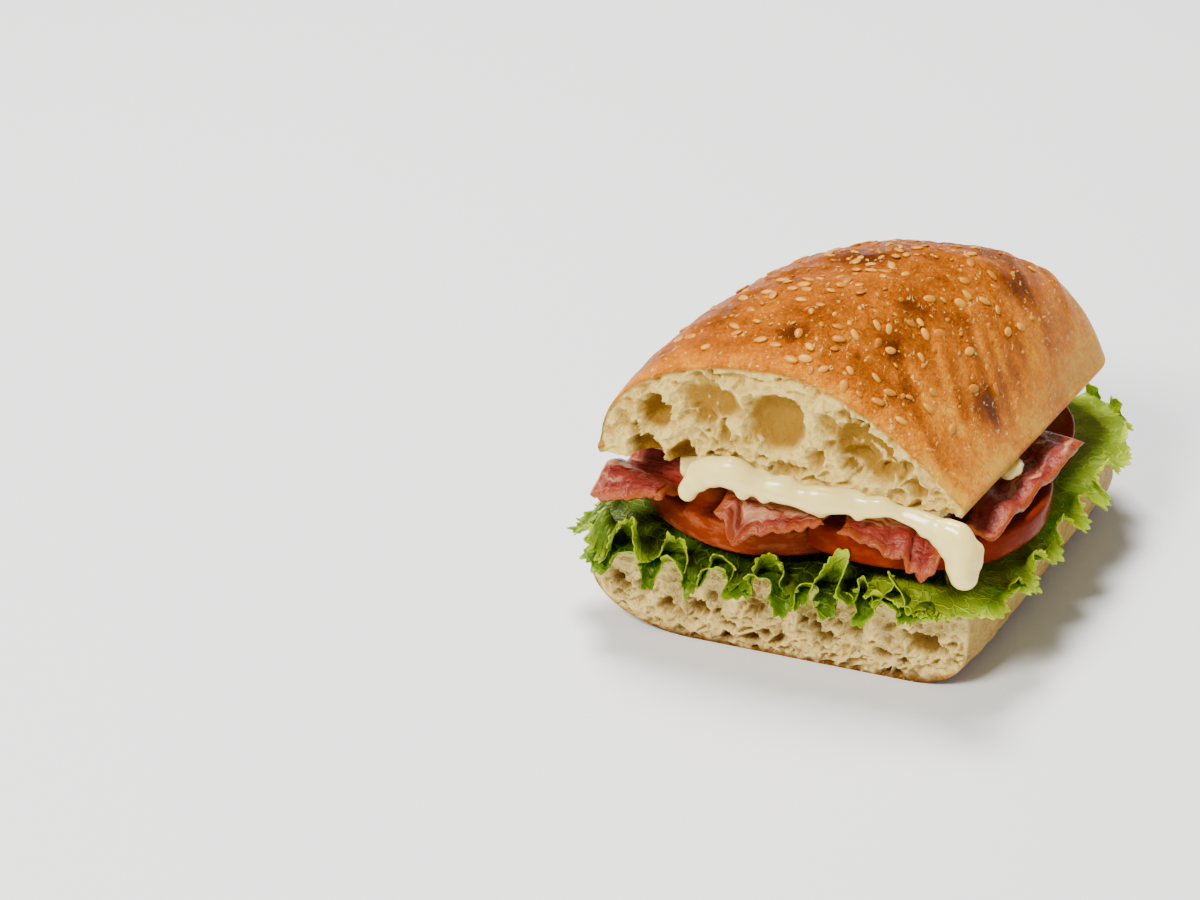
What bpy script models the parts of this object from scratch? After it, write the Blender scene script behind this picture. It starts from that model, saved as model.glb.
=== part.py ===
"""Half of a bacon, lettuce and tomato Turkish roll, cut across and lying on its heel.

X runs across the cut from left to right, Y from the cut to the rounded end, Z up, and the
cut faces -Y. The pieces are laid out from the middle of the cut's lower edge. At the end
centre_on_base() moves the origin to the bottom centre of the whole object's box.
"""

import math
import random

import bmesh
import bpy
from mathutils import Euler, Matrix, Vector, noise

MM = 0.001
GAP = 0.3 * MM  # what touching pieces keep between them
SHARP_ANGLE = math.radians(40)
CUT_SIDE, UNDERSIDE, TOP_SIDE = (1, -1), (2, -1), (2, 1)  # flat sides of a block

# The roll.
ROLL_DEPTH = 107.0 * MM
LEAN = 0.175  # sideways drift for each unit of depth, as the roll was cut on a slight bias
REAR_ROUNDING = 0.6  # where along the roll its rear end starts to round, from -1 to 1
HEEL_HALF_WIDTH = 46.6 * MM
HEEL_HEIGHT = 22.0 * MM
HEEL_CORNERS = ((26 * MM, 16 * MM), (13 * MM, 10 * MM))  # reach and height of the rounding
HEEL_PINCH = 2.0 * MM  # how much the knife pressed in its right side at the cut
CROWN_HALF_WIDTH = 42.6 * MM
CROWN_OFFSET = -1.6 * MM  # how far the crown has slid to the right
CROWN_BASE_Z = 47.2 * MM  # underside of the crown at the cut
CROWN_TILT = math.radians(4.5)  # the crown comes down towards the rear
CROWN_WALL = 3.0 * MM  # height of the crown's lower edge
CUT_ARCH_HEIGHT = 27.8 * MM
DOME_HEIGHT = 36.3 * MM
DOME_PEAK = -0.31  # where along the roll the dome is highest, from -1 at the cut to 1
CRUST_LUMPS = ((1.0 * MM, 21 * MM), (0.5 * MM, 8 * MM))  # height and size of each kind of lump
WALL_BULGE = 0.7 * MM
HEEL_WAVER = (0.8 * MM, 17 * MM)  # how far its sides waver, and over what length

# The filling.
LEAF_THICKNESS = 0.7 * MM
TOMATO_THICKNESS = 7.4 * MM
BACON_THICKNESS = 1.9 * MM
SAUCE_THICKNESS = 2.6 * MM

# Sesame.
SEED_COUNT = 56
SEED_SIZE = (1.7 * MM, 1.15 * MM, 0.8 * MM)  # half length, half width, half height
SEED_SPACING = 4.6 * MM
SEED_LIFT = 0.25 * MM  # of a seed's middle above the crust


def clamp(value, low=0.0, high=1.0):
    return max(low, min(high, value))


def ease(value):
    """0 to 1 with a smooth start and end."""
    value = clamp(value)
    return value * value * (3 - 2 * value)


def ripple(point, size, seed=0.0):
    """Smooth noise from -1 to 1 whose bumps are about size across."""
    return noise.noise(Vector(point) / size + Vector((seed, 3.7 * seed, -seed)))


def crown_base(y):
    """Height of the crown's underside at depth y."""
    return CROWN_BASE_Z - y * math.tan(CROWN_TILT)


# ---------------------------------------------------------------- making meshes


def clear_scene():
    for obj in list(bpy.data.objects):
        bpy.data.objects.remove(obj, do_unlink=True)


def material(name, colour, roughness):
    made = bpy.data.materials.new(name)
    made.use_nodes = True
    shader = made.node_tree.nodes["Principled BSDF"]
    shader.inputs["Base Color"].default_value = (*colour, 1.0)
    shader.inputs["Roughness"].default_value = roughness
    shader.inputs["Metallic"].default_value = 0.0
    return made


def finished(name, bm, look=None, collection=None):
    """The bmesh as an object, with its faces pointing outwards."""
    bmesh.ops.recalc_face_normals(bm, faces=bm.faces)
    mesh = bpy.data.meshes.new(name)
    bm.to_mesh(mesh)
    bm.free()
    mesh.shade_smooth()
    mesh.set_sharp_from_angle(angle=SHARP_ANGLE)
    if look:
        mesh.materials.append(look)
    obj = bpy.data.objects.new(name, mesh)
    (collection or bpy.context.scene.collection).objects.link(obj)
    return obj


def block(cuts, place, flat_sides=()):
    """A cube of cuts[i] cells along axis i, each vertex put where place(a, b, c) says. The
    sides that stay flat, given as (axis, -1 or 1), become one face each."""
    bm = bmesh.new()
    bmesh.ops.create_cube(bm, size=2.0)
    for axis, cells in enumerate(cuts):
        if cells < 2:
            continue
        along = [e for e in bm.edges if abs(e.verts[0].co[axis] - e.verts[1].co[axis]) > 1.9]
        bmesh.ops.subdivide_edges(bm, edges=along, cuts=cells - 1, use_grid_fill=True)
    for axis, end in flat_sides:
        side = [f for f in bm.faces if all(abs(v.co[axis] - end) < 0.001 for v in f.verts)]
        bmesh.ops.dissolve_faces(bm, faces=side)
    for vertex in bm.verts:
        vertex.co = place(*vertex.co)
    return bm


def sheet(cells_s, cells_t, place):
    """A triangulated grid, each vertex put where place(s, t) says, s and t from 0 to 1."""
    bm = bmesh.new()
    bmesh.ops.create_grid(bm, x_segments=cells_s, y_segments=cells_t, size=0.5)
    for vertex in bm.verts:
        vertex.co = place(vertex.co.x + 0.5, vertex.co.y + 0.5)
    bmesh.ops.triangulate(bm, faces=bm.faces, quad_method="FIXED")
    return bm


def thicken(obj, thickness):
    """Gives a sheet its thickness, half on each side, so that both faces are split alike."""
    modifier = obj.modifiers.new("Thickness", "SOLIDIFY")
    modifier.thickness = thickness
    modifier.offset = 0.0


def ellipsoid(radii, centre, turn=Euler((0, 0, 0)), segments=12, rings=8):
    bm = bmesh.new()
    bmesh.ops.create_uvsphere(bm, u_segments=segments, v_segments=rings, radius=1.0)
    shape = Matrix.Translation(centre) @ turn.to_matrix().to_4x4() @ Matrix.Diagonal((*radii, 1.0))
    bmesh.ops.transform(bm, matrix=shape, verts=bm.verts)
    return bm


def combine(obj, helpers, operation, solver="EXACT"):
    """One Boolean of obj with every object of the helpers' collection, applied."""
    modifier = obj.modifiers.new(operation, "BOOLEAN")
    modifier.operation = operation
    modifier.operand_type = "COLLECTION"
    modifier.collection = helpers
    modifier.solver = solver
    bpy.context.view_layer.update()
    graph = bpy.context.evaluated_depsgraph_get()
    joined = bpy.data.meshes.new_from_object(obj.evaluated_get(graph))
    joined.shade_smooth()
    joined.set_sharp_from_angle(angle=SHARP_ANGLE)
    obj.modifiers.clear()
    obj.data = joined
    for helper in list(helpers.objects):
        bpy.data.objects.remove(helper, do_unlink=True)
    bpy.data.collections.remove(helpers)


def helper_collection(name):
    made = bpy.data.collections.new(name)
    bpy.context.scene.collection.children.link(made)
    return made


# ---------------------------------------------------------------- the roll


def footprint(a, b, half_width):
    """(x, y) on the roll's outline: a is -1 at the left and 1 at the right, b is -1 at the
    cut and 1 at the rounded end."""
    rear = clamp((b - REAR_ROUNDING) / (1 - REAR_ROUNDING))
    x = half_width * a * math.sqrt(1 - rear**2 / 2)
    along = min(b, REAR_ROUNDING) + (1 - REAR_ROUNDING) * rear * math.sqrt(1 - a**2 / 2)
    y = ROLL_DEPTH * (along + 1) / 2
    return x + LEAN * y, y


def dome_profile(a, b):
    """The dome across the roll, from 0 at its edges to 1 on its ridge. Its left side is
    steep, its right side a long slope, and the ridge moves right towards the rear."""
    rear = ease((b + 1) / 2)
    ridge = -0.06 + 0.33 * rear
    if a < ridge:
        t = clamp((ridge - a) / (1 + ridge))
        return (1 - t**2.1) ** (0.43 + 0.2 * rear)
    t = clamp((a - ridge) / (1 - ridge))
    return (1 - t ** (1.8 + 0.95 * rear)) ** (1.05 - 0.18 * rear)


def dome_height(b):
    """Height of the ridge above the crown's underside, from the cut back to the rear."""
    if b < DOME_PEAK:
        rise = math.sin(math.pi / 2 * (b + 1) / (DOME_PEAK + 1)) ** 0.6
        return CUT_ARCH_HEIGHT + (DOME_HEIGHT - CUT_ARCH_HEIGHT) * rise
    fall = (b - DOME_PEAK) / (1 - DOME_PEAK)
    return max(DOME_HEIGHT * (1 - min(fall, 1.0) ** 2.6) ** 0.54, CROWN_WALL)


def crown_point(a, b, c):
    """A point of the crown before it is tilted: c is -1 on the underside, 1 on the crust."""
    x, y = footprint(a, b, CROWN_HALF_WIDTH)
    thickness = CROWN_WALL + (dome_height(b) - CROWN_WALL) * dome_profile(a, b)
    lift = (c + 1) / 2
    inside = (1 - abs(a) ** 6) * (1 - abs(b) ** 6)
    lumps = sum(height * ripple((x, y, 0), size, 2.0) for height, size in CRUST_LUMPS)
    bulge = WALL_BULGE * math.sin(math.pi * lift) * (abs(a) > 0.999) * math.copysign(1, a)
    return Vector((x + CROWN_OFFSET + bulge, y, lift * (thickness + lumps * inside)))


def crown_placed():
    return Matrix.Translation((0, 0, CROWN_BASE_Z)) @ Matrix.Rotation(-CROWN_TILT, 4, "X")


def cut_holes(holes, seed, name):
    """A collection of cutters for the bubbles that the cut opened.

    holes lists (x, z, half width, half height, depth, lean in degrees), in millimetres."""
    cutters = helper_collection(name)
    for number, (x, z, half_width, half_height, depth, lean) in enumerate(holes):
        turn = Euler((0, math.radians(lean), math.radians(9 * math.sin(seed + number))))
        hole = ellipsoid(
            (half_width * MM, depth * MM, half_height * MM),
            Vector((x, 0.12 * depth, z)) * MM,
            turn,
            segments=14 if half_width > 5 else 10,
            rings=9 if half_width > 5 else 7,
        )
        finished(f"{name}_{number}", hole, collection=cutters)
    return cutters


# Bubbles in the cut face of each half, as cut_holes() takes them.
CROWN_HOLES = (
    (-31.5, 59.0, 4.2, 4.0, 6.5, 0),
    (-18.8, 64.6, 8.0, 5.4, 7.5, 8),
    (-3.6, 61.8, 7.4, 7.6, 9.0, 20),
    (17.6, 58.4, 9.4, 5.4, 8.5, 33),
    (-33.0, 50.6, 3.6, 3.6, 6.0, 0),
    (-25.2, 50.0, 3.0, 2.8, 4.5, 0),
    (-14.0, 72.0, 4.0, 1.4, 3.5, 0),
    (-1.0, 50.6, 3.4, 2.4, 3.5, 0),
    (6.6, 54.6, 2.2, 2.8, 4.0, 15),
    (30.0, 51.4, 3.6, 2.0, 4.0, 35),
    (-39.2, 56.5, 1.8, 3.0, 4.0, -20),
)
HEEL_HOLES = (
    (34.2, 10.8, 4.0, 3.2, 6.0, 10),
    (-20.0, 8.4, 2.9, 2.0, 4.0, 10),
    (-28.0, 7.6, 2.2, 2.0, 4.0, 0),
    (-40.3, 13.0, 2.3, 2.0, 4.0, -30),
    (10.8, 7.4, 3.0, 1.9, 3.5, 15),
    (25.0, 5.6, 2.4, 1.7, 3.5, 0),
    (-6.5, 12.6, 3.1, 1.8, 3.2, 0),
    (-33.5, 11.6, 1.8, 2.4, 3.0, 15),
    (-12.6, 5.4, 2.0, 1.3, 3.0, 0),
    (0.8, 5.0, 1.7, 1.4, 3.0, 0),
    (17.8, 11.4, 2.2, 1.5, 3.0, 20),
)


def crown_seeds():
    """(point, normal, yaw) of each seed on the crust, in the crown's own frame. They lie
    thickest on the left of the ridge and leave the pale right slope almost bare."""
    draw = random.Random(11)
    seeds = []
    while len(seeds) < SEED_COUNT:
        a, b = draw.uniform(-0.92, 0.85), draw.uniform(-0.9, 0.85)
        yaw = draw.uniform(0, math.pi)
        wanted = math.exp(-(((a + 0.15) / 0.5) ** 2)) * math.exp(-(((b + 0.05) / 0.7) ** 2))
        if draw.random() > wanted + 0.08:
            continue
        point = crown_point(a, b, 1)
        if any((point - other).length < SEED_SPACING for other, _, _ in seeds):
            continue
        across = crown_point(a + 0.02, b, 1) - crown_point(a - 0.02, b, 1)
        along = crown_point(a, b + 0.02, 1) - crown_point(a, b - 0.02, 1)
        seeds.append((point, across.cross(along).normalized(), yaw))
    return seeds


def make_crown(look):
    body = block((20, 16, 3), crown_point, flat_sides=(CUT_SIDE, UNDERSIDE))
    bmesh.ops.transform(body, matrix=crown_placed(), verts=body.verts)
    crown = finished("bread_crown", body, look)
    combine(crown, cut_holes(CROWN_HOLES, 1, "crown_bubbles"), "DIFFERENCE")
    seeds = helper_collection("seeds")
    for number, (point, normal, yaw) in enumerate(crown_seeds()):
        turn = normal.to_track_quat("Z", "Y").to_matrix() @ Matrix.Rotation(yaw, 3, "Z")
        seed = ellipsoid(SEED_SIZE, Vector((0, 0, 0)), segments=5, rings=4)
        bmesh.ops.transform(seed, matrix=turn.to_4x4(), verts=seed.verts)
        bmesh.ops.translate(seed, vec=point + normal * SEED_LIFT, verts=seed.verts)
        bmesh.ops.transform(seed, matrix=crown_placed(), verts=seed.verts)
        finished(f"seed_{number}", seed, collection=seeds)
    combine(crown, seeds, "UNION", solver="MANIFOLD")
    return crown


def heel_point(a, b, c):
    """A point of the heel: its lower edge is rounded, except along the cut."""
    height = HEEL_HEIGHT * ((c + 1) / 2) ** 1.35
    share = (a + 1) / 2
    reach, rise = (left + (right - left) * share for left, right in zip(*HEEL_CORNERS))
    inset = reach * (1 - math.sqrt(1 - clamp(1 - height / rise) ** 2))
    x, y = footprint(a, b, HEEL_HALF_WIDTH - inset)
    x -= HEEL_PINCH * max(a, 0.0) * math.exp(-y / (12 * MM))
    y -= inset * max(b, 0.0) ** 2
    amount, size = HEEL_WAVER
    waver = amount * ripple((x, y, height), size, 8.0) * clamp(height / rise)
    on_side, on_rear = abs(a) > 0.999, b > 0.999
    return Vector((x + waver * on_side * math.copysign(1, a), y + waver * on_rear, height))


def make_heel(look):
    body = block((14, 12, 6), heel_point, flat_sides=(CUT_SIDE, UNDERSIDE, TOP_SIDE))
    heel = finished("bread_heel", body, look)
    combine(heel, cut_holes(HEEL_HOLES, 4, "heel_bubbles"), "DIFFERENCE")
    return heel


# ---------------------------------------------------------------- lettuce


def rim_point(u):
    """The heel's upper outline: u runs 0 to 1 along the cut, to 2 up the right side, to 3
    round the rear and to 4 down the left side."""
    side, share = int(u % 4), 2 * (u % 1) - 1
    a, b = ((share, -1), (1, share), (-share, 1), (-1, -share))[side]
    return Vector((*footprint(a, b, HEEL_HALF_WIDTH), 0.0))


RIM_WINDOW = [0.03 * step for step in range(-4, 5)]  # shares of a side that rounding averages
RIM_STEP = 0.04


def rim_frame(u):
    """(point, outward direction) on the outline with its corners rounded off."""
    def rounded(middle):
        return sum((rim_point(middle + w) for w in RIM_WINDOW), Vector()) / len(RIM_WINDOW)

    tangent = (rounded(u + RIM_STEP) - rounded(u - RIM_STEP)).normalized()
    return rounded(u), Vector((tangent.y, -tangent.x, 0.0))


class Leaf:
    """A frilled leaf that lies on the heel and stands out past the rim from u_from to u_to."""

    def __init__(self, name, layer, u_from, u_to, pitch, reach, rise, droop, cells, quiet=()):
        self.name = name
        self.layer = layer  # 0 lies on the heel, 1 on the leaves of layer 0
        self.u_from, self.u_to = u_from, u_to
        self.pitch = pitch  # of the frill, as a share of a side of the roll
        self.reach = reach  # how far it stands out at its start, middle and end
        self.rise, self.droop = rise, droop  # how high the frill stands and how low it hangs
        self.cells = cells  # along its length
        self.quiet = quiet  # (u, half width) of stretches where the frill lies flatter

    def calm(self, u):
        """1 where the frill swings freely, down to 0.15 in a quiet stretch."""
        calm = 1.0
        for centre, half_width in self.quiet:
            calm -= 0.85 * math.exp(-(((u - centre) / half_width) ** 2))
        return max(calm, 0.15)

    def point(self, s, t):
        u = self.u_from + (self.u_to - self.u_from) * s
        rim, outward = rim_frame(u)
        calm = self.calm(u)
        swing = math.sin(2 * math.pi * u / self.pitch + 1.6 * math.sin(5 * u))
        start, middle, end = self.reach
        reach = start * (1 - s) ** 2 + 2 * middle * s * (1 - s) + end * s**2 - HEM
        if t < INNER_SHARE + 0.001:
            out, lift = -LEAF_INSIDE + t / INNER_SHARE * (LEAF_INSIDE + HEM), 0.0
        else:
            frill = (t - INNER_SHARE) / (1 - INNER_SHARE)
            tooth = 1 + 0.12 * math.sin(2 * math.pi * u / self.pitch * 3.3) * (t > 0.99)
            out = HEM + frill * reach * (1 - 0.55 * swing * calm) / 1.55 * tooth
            up, down = self.rise * max(swing, 0), self.droop * max(-swing, 0)
            lift = frill**0.85 * calm * (up - down) - 0.8 * MM * frill * (1 - calm)
        base = HEEL_HEIGHT + (self.layer + 1) * (GAP + LEAF_THICKNESS)
        return rim + outward * out + Vector((0, 0, base + lift))

    def make(self, look):
        leaf = finished(self.name, sheet(self.cells, 4, self.point), look)
        thicken(leaf, LEAF_THICKNESS)
        return leaf


LEAF_INSIDE = 15.0 * MM  # how far a leaf reaches in under the tomato
HEM = 2.2 * MM  # how far it lies flat past the rim before it frills
INNER_SHARE = 0.25  # the first of its four cells across lies flat
LEAVES = (
    Leaf(
        "lettuce_front", 0, -0.20, 1.05, 0.104, (8 * MM, 7 * MM, 9 * MM),
        12.5 * MM, 2.0 * MM, 76, quiet=((0.38, 0.05), (0.84, 0.05), (0.98, 0.09)),
    ),
    Leaf(
        "lettuce_right", 1, 1.09, 2.03, 0.11, (6.5 * MM, 11.5 * MM, 4.5 * MM),
        4.0 * MM, 3.4 * MM, 44,
    ),
    Leaf(
        "lettuce_rear", 0, 2.07, 2.93, 0.13, (9 * MM, 7 * MM, 8 * MM),
        5 * MM, 4 * MM, 30,
    ),
    Leaf(
        "lettuce_left", 1, 2.97, 3.77, 0.12, (8 * MM, 7 * MM, 7 * MM),
        6 * MM, 4.5 * MM, 30,
    ),
)


# ---------------------------------------------------------------- tomato

# name, centre x and y, height of the middle of the slice, radius, tilt towards the rear in
# degrees, in millimetres. Each slice is cut round those before it.
TOMATO_SLICES = (
    ("tomato_left", -10.6, 30.4, 30.2, 31.6, 0.5),
    ("tomato_right", 21.0, 33.2, 32.2, 34.4, 2.6),
    ("tomato_rear_left", 0.0, 70.0, 29.8, 29.0, 2.5),
    ("tomato_rear_right", 25.5, 65.0, 30.1, 29.0, 3.6),
)


def tomato_slice(x, y, z, radius, tilt, thickness=TOMATO_THICKNESS, segments=36):
    bm = bmesh.new()
    bmesh.ops.create_cone(
        bm, cap_ends=True, segments=segments, radius1=radius, radius2=radius, depth=thickness
    )
    rims = [e for e in bm.edges if len({f.calc_area() > radius * radius for f in e.link_faces}) == 2]
    bmesh.ops.bevel(
        bm, geom=rims, offset=0.9 * MM, offset_type="OFFSET", segments=1, profile=0.5,
        affect="EDGES", material=-1,
    )
    placed = Matrix.Translation((x, y, z)) @ Matrix.Rotation(-math.radians(tilt), 4, "X")
    bmesh.ops.transform(bm, matrix=placed, verts=bm.verts)
    return bm


def make_tomatoes(look):
    slices = []
    for number, (name, x, y, z, radius, tilt) in enumerate(TOMATO_SLICES):
        made = finished(name, tomato_slice(x * MM, y * MM, z * MM, radius * MM, tilt), look)
        if number:
            cutters = helper_collection(f"{name}_cutters")
            for _, x0, y0, z0, radius0, tilt0 in TOMATO_SLICES[:number]:
                round_it = tomato_slice(
                    x0 * MM, y0 * MM, z0 * MM, radius0 * MM + GAP, tilt0, 6 * TOMATO_THICKNESS
                )
                finished(f"{name}_cutter", round_it, collection=cutters)
            combine(made, cutters, "DIFFERENCE")
        slices.append(made)
    return slices


# ---------------------------------------------------------------- bacon


# What the rashers lie on: height at the cut and fall towards the rear for each unit of depth.
LEFT_BED = (34.9 * MM, 0.015)
MIDDLE_BED = (37.9 * MM, 0.045)
SLOPE_SHARE = 1.4  # how much taller than its thickness a rasher stands on a wave's slope
LEAST_SWING = 0.2 * MM


def bacon_room(y, bed):
    """(middle, swing) of a rasher that waves up and down between its bed and the sauce."""
    height, fall = bed
    floor = height - fall * y
    ceiling = crown_base(y) - 2 * GAP - SAUCE_THICKNESS
    swing = (ceiling - floor - SLOPE_SHARE * BACON_THICKNESS) / 2 - GAP
    return (floor + ceiling) / 2, max(swing, LEAST_SWING)


def tent(across, peak):
    """1 at peak, falling to 0 at -1 and at 1."""
    return (across + 1) / (peak + 1) if across < peak else (1 - across) / (1 - peak)


class Rasher:
    """A wavy strip of bacon along a straight line from the cut towards the rear.

    half_widths are those at its front and its rear end. Its front end hangs down in a point:
    tip is how long that is and where across the rasher it comes, from -1 to 1. sag is how
    steeply it falls where it lies past the crown's edge."""

    def __init__(self, name, bed, start, end, half_widths, waves, phase, tip, sag, cells):
        self.name = name
        self.bed = bed
        self.start, self.end = Vector((*start, 0)) * MM, Vector((*end, 0)) * MM
        self.half_widths = half_widths
        self.waves, self.phase = waves, phase
        self.tip = tip
        self.sag = sag
        self.cells = cells

    def point(self, s, t):
        s = s**1.7  # shorter cells towards the front, where it bends most
        across = 2 * t - 1
        line = self.end - self.start
        side = Vector((line.y, -line.x, 0)).normalized()
        front, rear = self.half_widths
        edge = 1 + 0.05 * math.sin(9 * s + self.phase) + 0.04 * math.sin(23 * s + 2 * self.phase)
        half_width = (front + (rear - front) * math.sqrt(s)) * MM * edge
        length, corner = self.tip
        bent = length * MM * tent(across, corner) * clamp(1 - s * line.length / TIP_REACH) ** 1.3
        place = self.start + line * s + side * across * half_width - line.normalized() * 0.42 * bent
        past = abs(place.x - CROWN_OFFSET - LEAN * place.y) - CROWN_HALF_WIDTH
        drop = 0.9 * bent + self.sag * max(past, 0.0)
        wave = math.sin(2 * math.pi * self.waves * s + self.phase + 0.8 * across)
        middle, swing = bacon_room(place.y, self.bed)
        return Vector((place.x, place.y, middle + swing * wave - drop))

    def make(self, look):
        rasher = finished(self.name, sheet(*self.cells, self.point), look)
        thicken(rasher, BACON_THICKNESS)
        return rasher


TIP_REACH = 11 * MM  # how far behind the front end a rasher starts to bend down
RASHERS = (
    Rasher(
        "bacon_left", LEFT_BED, (-36.5, -3.5), (-25, 70), (9.4, 8.0),
        waves=3.5, phase=0.4, tip=(2.5, -0.6), sag=0.1, cells=(16, 4),
    ),
    Rasher(
        "bacon_middle_left", MIDDLE_BED, (-2.5, -4.0), (4, 93), (13.2, 8.8),
        waves=4.5, phase=0.9, tip=(8.5, -0.55), sag=0.0, cells=(20, 6),
    ),
    Rasher(
        "bacon_middle_right", MIDDLE_BED, (25.8, -3.6), (25, 88), (12.3, 8.5),
        waves=4.2, phase=-0.9, tip=(8.0, 0.64), sag=0.0, cells=(20, 6),
    ),
    Rasher(
        "bacon_right", MIDDLE_BED, (44.4, 14.0), (52.6, 57), (3.6, 5.0),
        waves=3.2, phase=3.9, tip=(1.0, 0.5), sag=0.1, cells=(14, 4),
    ),
)


# ---------------------------------------------------------------- sauce

# The sauce's bead along the cut and the drip at its right end: x, y, z and radius in
# millimetres.
SAUCE_BEAD = (
    (-21.6, -2.8, 44.6, 2.3),
    (-20.4, -2.6, 48.0, 2.5),
    (-17.4, -2.3, 49.5, 2.3),
    (-10.1, -2.4, 48.8, 2.7),
    (-5.3, -2.4, 47.4, 2.4),
    (2.6, -2.2, 46.4, 2.1),
    (7.8, -2.4, 45.9, 2.3),
    (15.6, -2.2, 46.6, 1.9),
    (24.3, -2.0, 47.2, 1.5),
    (30.5, -2.2, 45.9, 1.6),
    (36.4, -3.2, 44.6, 2.1),
    (41.4, -4.0, 43.8, 2.7),
    (43.4, -5.2, 41.2, 3.5),
    (43.6, -5.8, 38.6, 3.6),
    (43.7, -6.2, 36.6, 3.6),
)
SAUCE_DROP = ((45.6, 30.0, 43.3), (3.3, 4.4, 1.9))  # its centre and its radii
SAUCE_SPREAD = (0.93, 0.95)  # shares of the crown's width and depth that the layer covers
SAUCE_START = -22.0 * MM  # left of here the layer stays back from the cut
SAUCE_HOLD_BACK = 12 * MM
SAUCE_FRONT = -1.4 * MM


def sauce_point(a, b, c):
    """A point of the spread layer, which stays GAP under the crown."""
    across, along = SAUCE_SPREAD
    x, y = footprint(across * a, along * b, CROWN_HALF_WIDTH)
    if b < 0:
        first = footprint(0, -along, CROWN_HALF_WIDTH)[1]
        hidden = ease((SAUCE_START - x) / (5 * MM))
        y += b * (first - SAUCE_FRONT) + b * b * hidden * SAUCE_HOLD_BACK
    top = crown_base(y) - GAP
    return Vector((x + CROWN_OFFSET, y, top - SAUCE_THICKNESS * (1 - c) / 2))


def bead(name, points, collection):
    """A round-ended run of sauce along points, each with its own radius."""
    curve = bpy.data.curves.new(name, "CURVE")
    curve.dimensions = "3D"
    curve.bevel_depth = MM
    curve.bevel_resolution = 2
    curve.use_fill_caps = True
    spline = curve.splines.new("POLY")
    spline.points.add(len(points) - 1)
    for point, (x, y, z, radius) in zip(spline.points, points):
        point.co = (x * MM, y * MM, z * MM, 1.0)
        point.radius = radius
    guide = bpy.data.objects.new(name, curve)
    bpy.context.scene.collection.objects.link(guide)
    bpy.context.view_layer.update()
    graph = bpy.context.evaluated_depsgraph_get()
    mesh = bpy.data.meshes.new_from_object(guide.evaluated_get(graph))
    bpy.data.objects.remove(guide, do_unlink=True)
    bm = bmesh.new()
    bm.from_mesh(mesh)
    bmesh.ops.remove_doubles(bm, verts=bm.verts, dist=0.01 * MM)
    finished(name, bm, collection=collection)
    for end, (x, y, z, radius) in (("first", points[0]), ("last", points[-1])):
        ball = ellipsoid((1.02 * radius * MM,) * 3, Vector((x, y, z)) * MM, segments=10, rings=7)
        finished(f"{name}_{end}", ball, collection=collection)


def make_sauce(look):
    layer = block((14, 12, 1), sauce_point, flat_sides=(UNDERSIDE, TOP_SIDE))
    sauce = finished("mayonnaise", layer, look)
    runs = helper_collection("sauce_runs")
    bead("bead", SAUCE_BEAD, runs)
    centre, radii = (Vector(numbers) * MM for numbers in SAUCE_DROP)
    drop = ellipsoid(radii, centre, Euler((-CROWN_TILT, 0, -LEAN)), segments=10, rings=7)
    finished("drop", drop, collection=runs)
    combine(sauce, runs, "UNION")
    room = helper_collection("crown_room")
    clearance = block((10, 10, 4), crown_point)
    bmesh.ops.transform(clearance, matrix=crown_placed(), verts=clearance.verts)
    for vertex in clearance.verts:
        vertex.co.z -= GAP
        vertex.co.y -= GAP
    finished("clearance", clearance, collection=room)
    combine(sauce, room, "DIFFERENCE")
    return sauce


# ---------------------------------------------------------------- the whole


def centre_on_base(objects):
    """Moves the origin to the bottom centre of the box round all the pieces."""
    bpy.context.view_layer.update()
    graph = bpy.context.evaluated_depsgraph_get()
    corners = []
    for obj in objects:
        evaluated = obj.evaluated_get(graph)
        corners += [evaluated.matrix_world @ Vector(corner) for corner in evaluated.bound_box]
    low = Vector(min(p[axis] for p in corners) for axis in range(3))
    high = Vector(max(p[axis] for p in corners) for axis in range(3))
    shift = Vector((-(low.x + high.x) / 2, -(low.y + high.y) / 2, -low.z))
    for obj in objects:
        obj.data.transform(Matrix.Translation(shift))


def main():
    clear_scene()
    crust = material("crust", (0.62, 0.31, 0.10), 0.5)
    crumb = material("crumb", (0.80, 0.66, 0.42), 0.8)
    leaf_green = material("lettuce", (0.22, 0.42, 0.05), 0.4)
    tomato_red = material("tomato", (0.62, 0.10, 0.04), 0.3)
    bacon_red = material("bacon", (0.55, 0.14, 0.11), 0.35)
    sauce_cream = material("mayonnaise", (0.93, 0.87, 0.68), 0.25)
    pieces = [make_crown(crust), make_heel(crumb)]
    pieces += [leaf.make(leaf_green) for leaf in LEAVES]
    pieces += make_tomatoes(tomato_red)
    pieces += [rasher.make(bacon_red) for rasher in RASHERS]
    pieces.append(make_sauce(sauce_cream))
    centre_on_base(pieces)


main()
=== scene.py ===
"""Half of a bacon, lettuce and tomato Turkish roll, cut across and lying on its heel.

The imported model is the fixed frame. Every piece here stands for one of its solids and gives
it the looks: open crumb, baked crust, sesame, frilled leaves, sliced tomato, bacon and
mayonnaise. The roll's own layout is in millimetres: X runs along the cut from left to right,
Y from the cut to the rounded end, Z up, and its origin is the middle of the cut's lower edge.
"""

import logging
import math
import random
from dataclasses import dataclass, replace
from enum import Enum
from typing import Iterable, Sequence

import bmesh
import bpy
import numpy as np
from mathutils import Euler, Matrix, Vector, noise

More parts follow.
